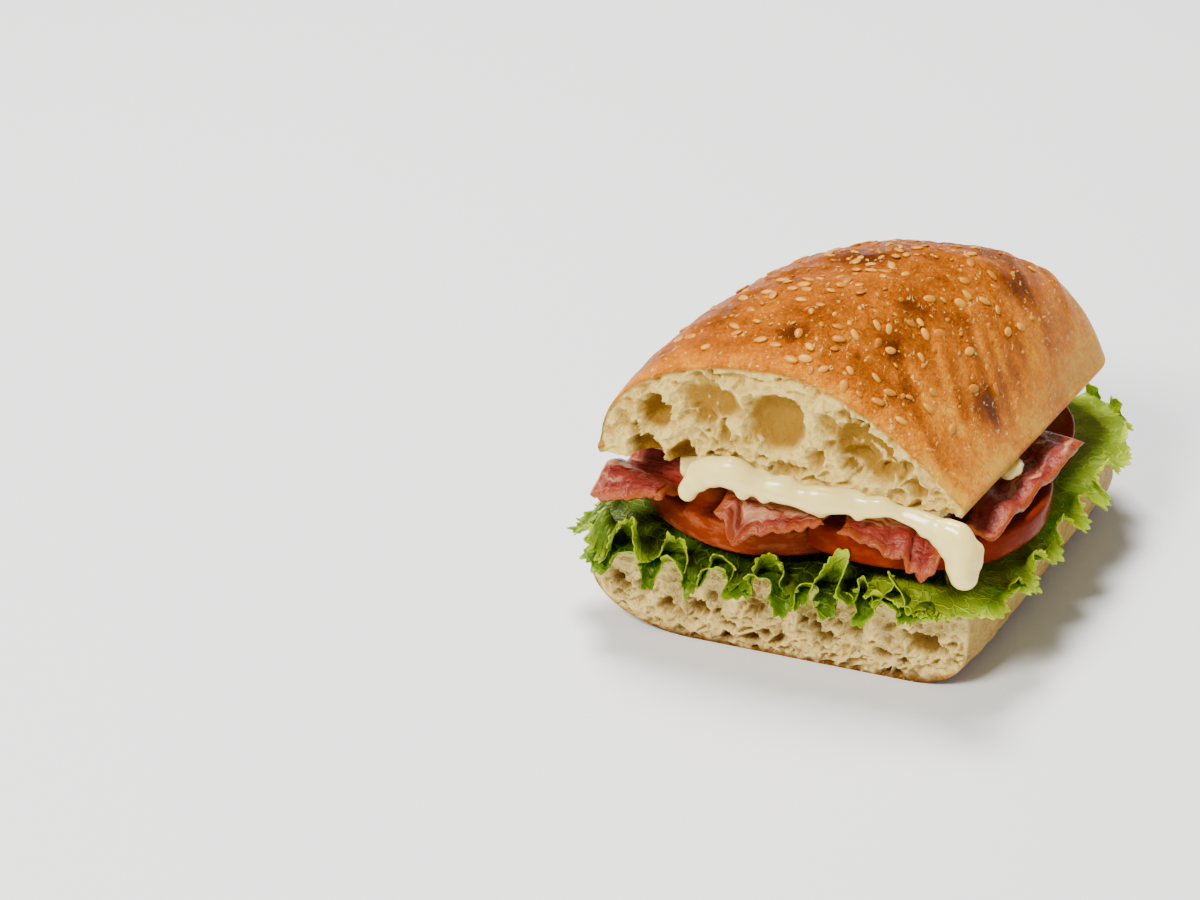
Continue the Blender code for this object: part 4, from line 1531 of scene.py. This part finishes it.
    def crinkled(self, points: np.ndarray, frill: np.ndarray, phase: np.ndarray) -> np.ndarray:
        """Adds the finer ruffles along the surface's own normals.

        Args:
            points: The leaf's points by column and row.
            frill: 0 inside to 1 at the margin.
            phase: The phase of the main ruffle.

        Returns:
            The points with their ruffles.
        """
        across = np.gradient(points, axis=1)
        along = np.gradient(points, axis=0)
        normal = np.cross(along, across)
        normal /= np.maximum(np.linalg.norm(normal, axis=-1, keepdims=True), 1e-6)
        uneven = 0.7 + 0.8 * ripple(points, 7.0, 2.0 + self.seed)
        beat = 2.9 * phase + 1.5 * frill + 2 * np.sin(0.37 * phase)
        ruffle = 1.15 * frill**1.8 * np.sin(beat) * uneven
        blister = 0.42 * ripple(points, 2.6, 5.0) * np.clip(frill * 4, 0.0, 1.0)
        blister += 1.3 * ripple(points, 6.0, 9.0 + self.seed) * frill
        return points + normal * (ruffle + blister)[..., None]

    def make(self, look: bpy.types.Material) -> bpy.types.Object:
        """Builds the leaf.

        Args:
            look: Its material.

        Returns:
            The piece.
        """
        points, marks = self.surface()
        leaf = self.bench.sheet(self.name, points, marks, look)
        modifier = leaf.modifiers.new("Thickness", "SOLIDIFY")
        modifier.thickness = self.thickness * MM
        modifier.offset = 0.0
        return leaf


# ---------------------------------------------------------------- tomato


@dataclass
class Slice:
    """A tomato slice with a rounded skin, cut away where the ones before it lie."""

    bench: Bench
    name: str
    node: str
    centre: tuple[float, float, float]
    radius: float
    tilt: float
    thickness: float = 7.4
    segments: int = 128

    def disc(self, grow: float, thickness: float, detailed: bool) -> bpy.types.Mesh:
        """Makes the disc or a cutter round it.

        Args:
            grow: How much larger than the slice it is.
            thickness: Its thickness.
            detailed: Whether it gets its rounded skin and its relief.

        Returns:
            The mesh, in metres.
        """
        bm = bmesh.new()
        radius = self.radius + grow
        bmesh.ops.create_cone(
            bm, cap_ends=True, segments=self.segments, radius1=radius, radius2=radius, depth=thickness
        )
        if detailed:
            caps = [f for f in bm.faces if len(f.verts) > 4]
            rims = [e for e in bm.edges if any(f in caps for f in e.link_faces)]
            bmesh.ops.bevel(
                bm, geom=rims, offset=1.5, offset_type="OFFSET", segments=4, profile=0.5,
                affect="EDGES", material=-1,
            )
            for width in (2.0, 4.0, 5.0, 6.0, 6.0):
                caps = [f for f in bm.faces if len(f.verts) > 4]
                bmesh.ops.inset_individual(bm, faces=caps, thickness=width, depth=0.0)
            for vertex in bm.verts:
                self.shape(vertex.co, thickness)
        turn = Matrix.Rotation(-math.radians(self.tilt), 4, "X")
        for vertex in bm.verts:
            vertex.co = self.bench.place(Vector(self.centre) + turn @ vertex.co)
        return mesh_of(bm, self.name)

    def shape(self, point: Vector, thickness: float) -> None:
        """Gives one vertex of the disc its place on the lobed, slightly sunken slice.

        Args:
            point: The vertex, which is moved.
            thickness: The disc's thickness.
        """
        flat = math.hypot(point.x, point.y)
        angle = math.atan2(point.y, point.x)
        lobes = 1 - 0.006 * (1 + math.sin(5 * angle + self.radius)) - 0.003 * math.sin(9 * angle)
        point.x *= lobes
        point.y *= lobes
        if flat < 0.92 * self.radius:
            dip = 0.35 * math.sin(math.pi * flat / self.radius) * abs(math.sin(3 * angle))
            point.z *= 1 - 2 * dip / thickness

    def make(self, look: bpy.types.Material, before: Sequence["Slice"]) -> bpy.types.Object:
        """Builds the slice.

        Args:
            look: Its material.
            before: The slices that it is cut round.

        Returns:
            The closed piece.
        """
        made = self.bench.finished(self.name, self.disc(-0.05, self.thickness, True), look)
        for other in before:
            cutter = bpy.data.objects.new("cutter", other.disc(GAP, 6 * self.thickness, False))
            bpy.context.scene.collection.objects.link(cutter)
            modifier = made.modifiers.new("Cut", "BOOLEAN")
            modifier.operation = "DIFFERENCE"
            modifier.object = cutter
            modifier.solver = "EXACT"
            apply_modifiers(made)
            bpy.data.objects.remove(cutter, do_unlink=True)
        made.data.shade_smooth()
        made.data.set_sharp_from_angle(angle=math.radians(50))
        return made


# ---------------------------------------------------------------- bacon


@dataclass
class Rasher:
    """A wavy strip of bacon from the cut towards the rear, with a ragged front that hangs."""

    bench: Bench
    form: RollForm
    name: str
    node: str
    bed: tuple[float, float]  # height of what it lies on at the cut, and its fall to the rear
    start: tuple[float, float]
    end: tuple[float, float]
    half_widths: tuple[float, float]
    waves: float
    phase: float
    lip: tuple[tuple[float, float], ...]  # where across the front, and how far it hangs there
    sag: float = 0.0
    columns: int = 150
    rows: int = 44
    thickness: float = 1.7
    solid_thickness: float = 1.9
    sauce_thickness: float = 2.6
    lip_reach: float = 11.0
    seed: float = 0.0

    def level(self, y: np.ndarray) -> Pair:
        """Finds the room between what the rasher lies on and the mayonnaise.

        Args:
            y: Places along Y.

        Returns:
            The height of the rasher's middle, and how far its waves may swing.
        """
        floor = self.bed[0] - self.bed[1] * y
        ceiling = self.form.ceiling(y) - 2 * GAP - self.sauce_thickness
        swing = (ceiling - floor - 1.4 * self.solid_thickness) / 2 - GAP
        return (floor + ceiling) / 2, np.maximum(swing, 0.2)

    def surface(self) -> tuple[np.ndarray, Marks, np.ndarray]:
        """Works out the rasher's middle surface.

        Returns:
            The points by column and row, the marks across, along and rim, and the share of
            its thickness at each vertex.
        """
        s = (np.linspace(0.0, 1.0, self.columns + 1) ** 1.5)[:, None]
        across = np.linspace(-1.0, 1.0, self.rows + 1)[None, :]
        start, end = np.array((*self.start, 0.0)), np.array((*self.end, 0.0))
        length = np.linalg.norm(end - start)
        forward = (end - start) / length
        side = np.array((forward[1], -forward[0], 0.0))
        front, rear = self.half_widths
        line = stacked(s * length, across + self.seed)
        ragged = 0.05 * ripple(line, 6.0, 1.0) + 0.035 * ripple(line, 2.1, 3.0)
        half = (front + (rear - front) * np.sqrt(s)) * (1 + ragged * np.abs(across) ** 3)
        wheres, drops = zip(*self.lip)
        hang = np.interp(across, wheres, drops)
        tear = 0.9 * ripple(stacked(across * front, self.seed), 1.5, 2.0)
        hang = np.maximum(hang + tear, 0.0)
        bent = hang * np.clip(1 - s * length / self.lip_reach, 0.0, 1.0) ** 1.3
        base = start + forward * (s * length)[..., None] + side * (across * half)[..., None]
        base = base - forward * (0.42 * bent)[..., None]
        middle, swing = self.level(base[..., 1])
        past = np.abs(base[..., 0] - self.form.crown_offset - self.form.lean * base[..., 1])
        drop = 0.9 * bent + self.sag * np.maximum(past - self.form.crown_half_width, 0.0)
        wave = np.sin(2 * math.pi * self.waves * s + self.phase + 0.8 * across)
        loose = 0.6 + np.clip(bent / 3.0, 0.0, 1.0)
        fold = 0.5 * ripple(base, 5.0, 3.0 + self.seed) + 0.28 * ripple(base, 2.2, 6.0 + self.seed)
        base[..., 2] = middle + (swing - 0.15) * wave - drop + fold * loose
        crease = ripple(base * (0.35, 1.0, 1.0), 3.4, 8.0 + self.seed) * np.clip(bent / 2.0, 0.0, 1.0)
        base -= forward * (0.9 * crease)[..., None]
        edge = np.minimum((1 - np.abs(across)) * half, s * length + 0.25 + 0 * across)
        edge = np.minimum(edge, (1 - s) * length)
        weights = np.sqrt(np.clip(edge / 1.3, 0.02, 1.0))
        marks = {
            "across": across * half,
            "along": s * length + 0 * across,
            "rim": 1 - smooth(edge, 0.2, 2.2),
        }
        return base, marks, weights

    def make(self, look: bpy.types.Material) -> bpy.types.Object:
        """Builds the rasher.

        Args:
            look: Its material.

        Returns:
            The piece.
        """
        points, marks, weights = self.surface()
        marks["weight"] = weights
        rasher = self.bench.sheet(self.name, points, marks, look)
        stored = np.empty(len(rasher.data.vertices), np.float32)
        rasher.data.attributes["weight"].data.foreach_get("value", stored)
        rasher.data.attributes.remove(rasher.data.attributes["weight"])
        weight_thickness(rasher, self.thickness, stored)
        return rasher


# ---------------------------------------------------------------- mayonnaise


@dataclass
class Mayonnaise:
    """A layer of mayonnaise under the crown, with a bead along the cut and a drip."""

    bench: Bench
    form: RollForm
    thickness: float = 2.5
    spread: tuple[float, float] = (0.86, 0.88)
    front: float = -1.4
    start: float = -22.0
    held_back: float = 12.0
    voxel: float = 0.58
    smear: tuple[float, float] = (-17.0, 20.0)
    smears: int = 20
    bead: tuple[tuple[float, float, float, float], ...] = (  # x, y, z and radius along the run
        (-21.6, -2.8, 44.6, 2.3), (-20.4, -2.6, 48.0, 2.5), (-17.4, -2.3, 49.5, 2.3),
        (-10.1, -2.4, 48.8, 2.7), (-5.3, -2.4, 47.4, 2.4), (2.6, -2.2, 46.4, 2.1),
        (7.8, -2.4, 45.9, 2.3), (15.6, -2.2, 46.6, 1.9), (24.3, -2.0, 47.2, 1.5),
        (30.5, -2.2, 45.9, 1.6), (36.4, -3.2, 44.6, 2.1), (41.4, -4.0, 43.8, 2.7),
        (43.4, -5.2, 41.2, 3.3), (43.6, -5.8, 38.6, 3.3), (43.7, -6.2, 36.2, 3.5),
    )
    blobs: tuple[tuple[float, float, float, float, float], ...] = (  # x, y, z, radius, tallness
        (45.6, 28.0, 43.3, 2.2, 0.8), (46.4, 30.5, 43.1, 2.4, 0.8), (46.6, 33.0, 42.9, 1.9, 0.8),
        (-21.9, -3.2, 43.4, 2.5, 1.2), (-19.2, -2.6, 46.4, 2.6, 1.2),
        (-16.0, -2.2, 47.6, 2.7, 1.0), (-9.0, -2.4, 45.8, 2.2, 1.3), (-4.0, -2.3, 45.4, 2.0, 1.2),
        (9.4, -2.4, 44.2, 1.9, 1.2), (18.0, -2.2, 45.0, 1.8, 1.2), (33.6, -2.6, 44.6, 2.2, 1.2),
        (39.0, -3.4, 43.2, 2.6, 1.2), (44.8, -3.4, 41.4, 2.7, 1.0), (45.0, -4.6, 39.6, 2.7, 1.3),
        (40.6, -4.2, 41.6, 2.4, 1.1), (42.0, -5.2, 39.6, 2.6, 1.2), (37.0, -3.0, 43.2, 2.5, 1.2),
        (39.4, -3.8, 41.4, 2.6, 1.3), (41.4, -5.0, 37.6, 2.5, 1.2),
    )

    def layer(self) -> bmesh.types.BMesh:
        """Makes the spread layer.

        Returns:
            The bmesh, in the layout's millimetres.
        """
        bm = divided_cube((30, 26, 3), ())
        a, b, c = np.array([v.co for v in bm.verts]).T
        across, along = self.spread
        x, y = self.form.outline(across * a, along * b, self.form.crown_half_width)
        first = self.form.outline(np.zeros(1), np.full(1, -along), 1.0)[1][0]
        hidden = 1 - smooth(x, self.start - 5.0, self.start)
        y = y + (b < 0) * (b * (first - self.front) + b * b * hidden * self.held_back)
        flat = stacked(x, y)
        x = x + 2.6 * ripple(flat, 8.0, 2.0) * np.abs(a) ** 4
        y = y + 3.0 * ripple(flat, 9.0, 5.0) * (b > 0) * np.abs(b) ** 4
        top = self.form.ceiling(y) - GAP
        z = top - self.thickness * (1 - c) / 2
        for vertex, point in zip(bm.verts, stacked(x + self.form.crown_offset, y, z)):
            vertex.co = point
        return bm

    def balls(self, bm: bmesh.types.BMesh) -> None:
        """Adds the overlapping balls that make up the bead, the drip and the blobs.

        Args:
            bm: The bmesh that they are added to.
        """
        run = np.array(self.bead)
        for first, last in zip(run[:-1], run[1:]):
            steps = max(2, int(np.linalg.norm(last[:3] - first[:3]) / 0.6))
            for share in np.linspace(0.0, 1.0, steps, endpoint=False):
                x, y, z, radius = first + (last - first) * share
                uneven = noise.noise(Vector((x / 8.0, z / 6.0, 2.0)))
                uneven += 0.3 * noise.noise(Vector((x / 3.1, z / 3.0, 5.0)))
                sag = noise.noise(Vector((x / 5.5, z / 6.0, 9.0)))
                radius *= 1 + 0.34 * uneven
                self.ball(bm, (x, y, z - 0.5 - 1.1 * sag), radius, 1.0)
                self.ball(bm, (x, y + 0.9, z + 0.6 + 0.8 * uneven), radius, 1.15)
        self.ball(bm, run[-1][:3], run[-1][3], 1.0)
        for x, y, z, radius, tall in self.blobs:
            self.ball(bm, (x, y, z), radius, tall)
        draw = random.Random(4)
        low, high = self.smear
        for _ in range(self.smears):
            x, spread = draw.uniform(low, high), draw.uniform(1.4, 2.9)
            z = 48.6 - 0.07 * (x + 12) + draw.uniform(-0.6, 1.6)
            place = Matrix.Translation((x, draw.uniform(-0.9, -0.4), z))
            place = place @ Matrix.Diagonal((1.5, 0.42, 0.9, 1.0))
            bmesh.ops.create_icosphere(bm, subdivisions=2, radius=spread, matrix=place)

    @staticmethod
    def ball(bm: bmesh.types.BMesh, centre: Sequence[float], radius: float, tall: float) -> None:
        """Adds one ball that is tall times as high as it is wide."""
        place = Matrix.Translation(Vector(centre)) @ Matrix.Diagonal((1.0, 1.0, tall, 1.0))
        bmesh.ops.create_icosphere(bm, subdivisions=2, radius=radius, matrix=place)

    def make(self, look: bpy.types.Material) -> bpy.types.Object:
        """Builds the mayonnaise as one smooth body.

        Args:
            look: Its material.

        Returns:
            The closed piece.
        """
        bm = self.layer()
        self.balls(bm)
        for vertex in bm.verts:
            vertex.co = self.bench.place(vertex.co)
        sauce = self.bench.finished("sauce", mesh_of(bm, "mayonnaise"), look)
        remesh = sauce.modifiers.new("Melt", "REMESH")
        remesh.mode = "VOXEL"
        remesh.voxel_size = self.voxel * MM
        soften = sauce.modifiers.new("Soften", "SMOOTH")
        soften.factor = 0.5
        soften.iterations = 8
        apply_modifiers(sauce)
        points = (read_points(sauce.data) - self.bench.origin) / MM
        under = points[:, 1] > 0.0
        limit = self.form.ceiling(points[:, 1]) - 0.15
        over = under & (points[:, 2] > limit)
        inside = np.abs(points[:, 0] - self.form.crown_offset - self.form.lean * points[:, 1])
        over &= inside < self.form.crown_half_width
        points[over, 2] = limit[over]
        write_points(sauce.data, self.bench.metres(points))
        sauce.data.shade_smooth()
        return sauce


# ---------------------------------------------------------------- studio


@dataclass
class Studio:
    """The floor, the lights and the camera."""

    bench: Bench
    floor_size: float = 6.0
    camera: tuple[float, float, float] = (146.786, -554.781, 414.448)
    azimuth: float = math.radians(19.0)
    elevation: float = math.radians(32.0)
    lens: float = 90.0
    world: float = 0.2
    target: tuple[float, float, float] = (0.0, 0.0, 0.04)  # of the lights, in metres

    def lay_floor(self) -> bpy.types.Object:
        """Lays the floor.

        Returns:
            The floor, which isn't part of the object.
        """
        bm = bmesh.new()
        bmesh.ops.create_grid(bm, x_segments=2, y_segments=2, size=self.floor_size / 2)
        floor = self.bench.finished("floor", mesh_of(bm, "floor"), FloorFinish().make())
        return floor

    def hang_light(
        self, name: str, place: Sequence[float], size: float, power: float, tint: Colour = (1, 1, 1)
    ) -> None:
        """Hangs one soft square light that shines at the roll.

        Args:
            name: Its name.
            place: Where it hangs, in metres.
            size: How wide it is, in metres.
            power: Its power in watts.
            tint: Its colour.
        """
        data = bpy.data.lights.new(name, "AREA")
        data.shape = "SQUARE"
        data.size = size
        data.energy = power
        data.color = tint
        light = bpy.data.objects.new(name, data)
        light.location = place
        towards = Vector(self.target) - Vector(place)
        light.rotation_euler = towards.to_track_quat("-Z", "Y").to_euler()
        bpy.context.scene.collection.objects.link(light)

    def light_up(self) -> None:
        """Hangs the three lights and sets the light all round."""
        self.hang_light("overhead", (-0.30, 0.35, 1.30), 0.45, 36.0)
        self.hang_light("front left", (-0.55, -1.00, 1.15), 0.45, 38.0, (1.0, 0.97, 0.93))
        self.hang_light("front right", (1.1, -0.7, 0.7), 0.8, 2.0)
        world = bpy.data.worlds.new("studio")
        world.use_nodes = True
        background = world.node_tree.nodes["Background"]
        background.inputs["Color"].default_value = (1.0, 1.0, 1.0, 1.0)
        background.inputs["Strength"].default_value = self.world
        bpy.context.scene.world = world

    def set_camera(self) -> None:
        """Sets the camera above and to the right of the cut."""
        data = bpy.data.cameras.new("camera")
        data.lens = self.lens
        data.sensor_width = 36.0
        data.clip_start, data.clip_end = 0.01, 20.0
        camera = bpy.data.objects.new("camera", data)
        camera.location = self.bench.place(self.camera)
        flat, up = math.cos(self.elevation), math.sin(self.elevation)
        back = Vector((math.sin(self.azimuth) * flat, -math.cos(self.azimuth) * flat, up))
        camera.rotation_euler = (-back).to_track_quat("-Z", "Y").to_euler()
        bpy.context.scene.collection.objects.link(camera)
        bpy.context.scene.camera = camera


# ---------------------------------------------------------------- putting it together


class Slot(Enum):
    """The record's material slots."""

    CRUST = "crust"
    CRUMB = "crumb"
    LETTUCE = "lettuce"
    TOMATO = "tomato"
    BACON = "bacon"
    MAYONNAISE = "mayonnaise"


def install(piece: bpy.types.Object, node: str) -> None:
    """Puts a finished piece in the place of its solid and reports it.

    Args:
        piece: The piece.
        node: The solid that it stands for.
    """
    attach(piece, ROOT)
    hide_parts(node)
    log.info("%s stands for %s: %d faces", piece.name, node, len(piece.data.polygons))


def layout_origin() -> Vector:
    """Finds the layout's origin in the frame, from the left tomato slice.

    Returns:
        The origin, in metres.
    """
    low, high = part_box("tomato_left")
    middle = (low + high) / 2
    return Vector((middle.x - TOMATO_CENTRE[0] * MM, middle.y - TOMATO_CENTRE[1] * MM, 0.0))


def add_bread(bench: Bench, form: RollForm) -> None:
    """Makes both halves of the roll and the seeds.

    Args:
        bench: Where the pieces are made.
        form: The roll's form.
    """
    crust = BreadFinish("crust and crumb").make()
    install(Crown(bench, form).make(crust), "bread_crown")
    install(Sesame(bench, form).make(SeedFinish().make()), "bread_crown")
    pale = BreadFinish(
        "heel crumb",
        bake=(
            (0.00, (0.70, 0.46, 0.13)),
            (0.28, (0.52, 0.27, 0.045)),
            (0.55, (0.37, 0.14, 0.014)),
            (0.75, (0.20, 0.060, 0.006)),
            (1.00, (0.075, 0.018, 0.003)),
        ),
        # The light rim colour is a painted highlight on the crumb's rims and walls, the dark one painted
        # shade in its hollows.
        crumb=(0.54, 0.365, 0.085), rim=(0.92, 0.71, 0.26), painted_hollow_shade=(0.23, 0.125, 0.022),
        pore_size=1.0, pore_depth=0.62, stringy=0.35,
    )
    install(Heel(bench, form).make(pale.make()), "bread_heel")


def add_lettuce(bench: Bench, form: RollForm) -> None:
    """Makes the leaves, six sheets for four solids.

    Args:
        bench: Where the pieces are made.
        form: The roll's form.
    """
    # Painted shade: the front, rear and left leaves get near-black inner greens for the shade they lie
    # in.
    shaded_lettuce = LeafFinish(
        "lettuce with painted shade",
        (0.008, 0.020, 0.001), (0.066, 0.120, 0.002), (0.37, 0.47, 0.008), (0.32, 0.41, 0.016),
    )
    # Partly the paler leaf's own greens and white ribs, partly painted light that brightens it against
    # the crown's shade.
    light = LeafFinish(
        "pale lettuce with painted light",
        (0.17, 0.25, 0.004), (0.31, 0.40, 0.008), (0.52, 0.60, 0.016), (0.58, 0.66, 0.08),
        veined=0.32,
    )
    # deep carries the painted shade, pale the painted light.
    deep, pale = shaded_lettuce.make(), light.make()
    front = {
        "quiet": ((0.84, 0.04), (0.99, 0.09)),
        "peaks": (
            (0.03, 0.03, 4.0), (0.13, 0.04, 6.5), (0.22, 0.03, 3.0),
            (0.34, 0.03, 3.0), (0.47, 0.03, 2.5), (0.637, 0.036, 7.5),
            (0.71, 0.02, 3.0), (0.789, 0.030, 7.5), (0.88, 0.025, 3.0),
        ),
        "hem": -0.6,
        "mounds": ((0.04, 0.07, 6.5), (-0.12, 0.05, 4.0)),
    }
    leaves = (
        (Leaf(
            bench, form, "front_leaf", "lettuce_front", 0, -0.20, 0.94, 0.12, (8.5, 8.0, 9.0),
            6.0, 3.2, 1200, **front,
        ), deep),
        (Leaf(
            bench, form, "front_leaf_below", "lettuce_front", 0, -0.16, 0.90, 0.11, (10.0, 10.5, 9.0),
            3.2, 4.0, 950, ((0.86, 0.05),), seed=17.0, inside=6.0, base_lift=-0.65,
        ), deep),
        (Leaf(
            bench, form, "corner_leaf", "lettuce_right", 0, 0.72, 1.30, 0.15, (5.0, 13.0, 6.0),
            1.8, 2.0, 620, ((0.95, 0.12),), seed=21.0, inside=7.0, base_lift=0.35,
        ), pale),
        (Leaf(
            bench, form, "right_leaf", "lettuce_right", 1, 1.09, 2.03, 0.13, (6.5, 11.5, 4.5),
            4.8, 3.2, 900, seed=4.0,
        ), pale),
        (Leaf(
            bench, form, "rear_leaf", "lettuce_rear", 0, 2.07, 2.93, 0.14, (9.0, 7.0, 8.0),
            5.0, 4.0, 620, seed=8.0,
        ), deep),
        (Leaf(
            bench, form, "left_leaf", "lettuce_left", 1, 2.97, 3.77, 0.13, (8.0, 7.0, 7.0),
            6.0, 4.5, 620, seed=12.0,
        ), deep),
    )
    for leaf, look in leaves:
        install(leaf.make(look), leaf.node)


def add_tomatoes(bench: Bench) -> None:
    """Makes the four tomato slices, each cut round those before it.

    Args:
        bench: Where the pieces are made.
    """
    slices = (
        Slice(bench, "left_slice", "tomato_left", (-10.6, 30.4, 30.2), 31.6, 0.5),
        Slice(bench, "right_slice", "tomato_right", (21.0, 33.2, 32.2), 34.4, 2.6),
        Slice(bench, "rear_left_slice", "tomato_rear_left", (0.0, 70.0, 29.8), 29.0, 2.5),
        Slice(bench, "rear_right_slice", "tomato_rear_right", (25.5, 65.0, 30.1), 29.0, 3.6),
    )
    for number, tomato in enumerate(slices):
        middle = bench.place(tomato.centre)
        finish = TomatoFinish(tomato.name, (middle.x, middle.y), tomato.radius * MM)
        if number == 0:
            finish = replace(finish, skin=(0.20, 0.024, 0.004), skin_pale=(0.40, 0.115, 0.034))
        install(tomato.make(finish.make(), slices[:number]), tomato.node)


def add_bacon(bench: Bench, form: RollForm) -> None:
    """Makes the four rashers.

    Args:
        bench: Where the pieces are made.
        form: The roll's form.
    """
    low, high = (34.9, 0.015), (37.9, 0.045)
    rashers = (
        Rasher(
            bench, form, "left_rasher", "bacon_left", low, (-36.5, -3.5), (-25.0, 70.0), (9.4, 8.0),
            3.5, 0.4,
            ((-1.0, 1.5), (-0.6, 3.0), (0.0, 2.4), (0.5, 2.0), (1.0, 1.0)),
            sag=0.1, thickness=2.6, seed=1.0,
        ),
        Rasher(
            bench, form, "middle_left_rasher", "bacon_middle_left", high,
            (-2.5, -4.0), (4.0, 93.0), (13.2, 8.8), 4.5, 0.9,
            (
                (-1.0, 2.0), (-0.77, 3.6), (-0.55, 9.9), (-0.19, 6.0), (0.41, 3.7), (0.85, 1.3),
                (1.0, 0.5),
            ),
            seed=2.0,
        ),
        Rasher(
            bench, form, "middle_right_rasher", "bacon_middle_right", high,
            (25.8, -3.6), (25.0, 88.0), (12.3, 8.5), 4.2, -0.9,
            (
                (-1.0, 0.0), (-0.68, 0.3), (-0.28, 1.5), (-0.03, 4.0), (0.33, 3.6), (0.41, 7.0),
                (0.7, 8.6), (0.89, 7.0), (1.0, 1.5),
            ),
            seed=3.0,
        ),
        Rasher(
            bench, form, "right_rasher", "bacon_right", high, (43.9, 8.0), (52.0, 58.5), (3.8, 6.2),
            3.2, 3.9,
            ((-1.0, 0.4), (0.5, 1.0), (1.0, 0.5)), sag=0.1, columns=110, rows=26, seed=4.0,
        ),
    )
    leans = (0.56, 0.53, 0.53, 0.58)
    for number, (rasher, lean) in enumerate(zip(rashers, leans)):
        crosswise = rasher.node != "bacon_right"
        finish = BaconFinish(f"bacon {number + 1}", 0.013 * number, crosswise, lean)
        install(rasher.make(finish.make()), rasher.node)


def main() -> None:
    """Builds the roll on its frame."""
    logging.basicConfig(level=logging.INFO, format="%(message)s")
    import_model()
    bench, form = Bench(layout_origin()), RollForm()
    add_bread(bench, form)
    add_lettuce(bench, form)
    add_tomatoes(bench)
    add_bacon(bench, form)
    install(Mayonnaise(bench, form).make(SauceFinish().make()), "mayonnaise")
    studio = Studio(bench)
    studio.lay_floor()
    studio.light_up()
    studio.set_camera()


if __name__ == "__main__":
    main()
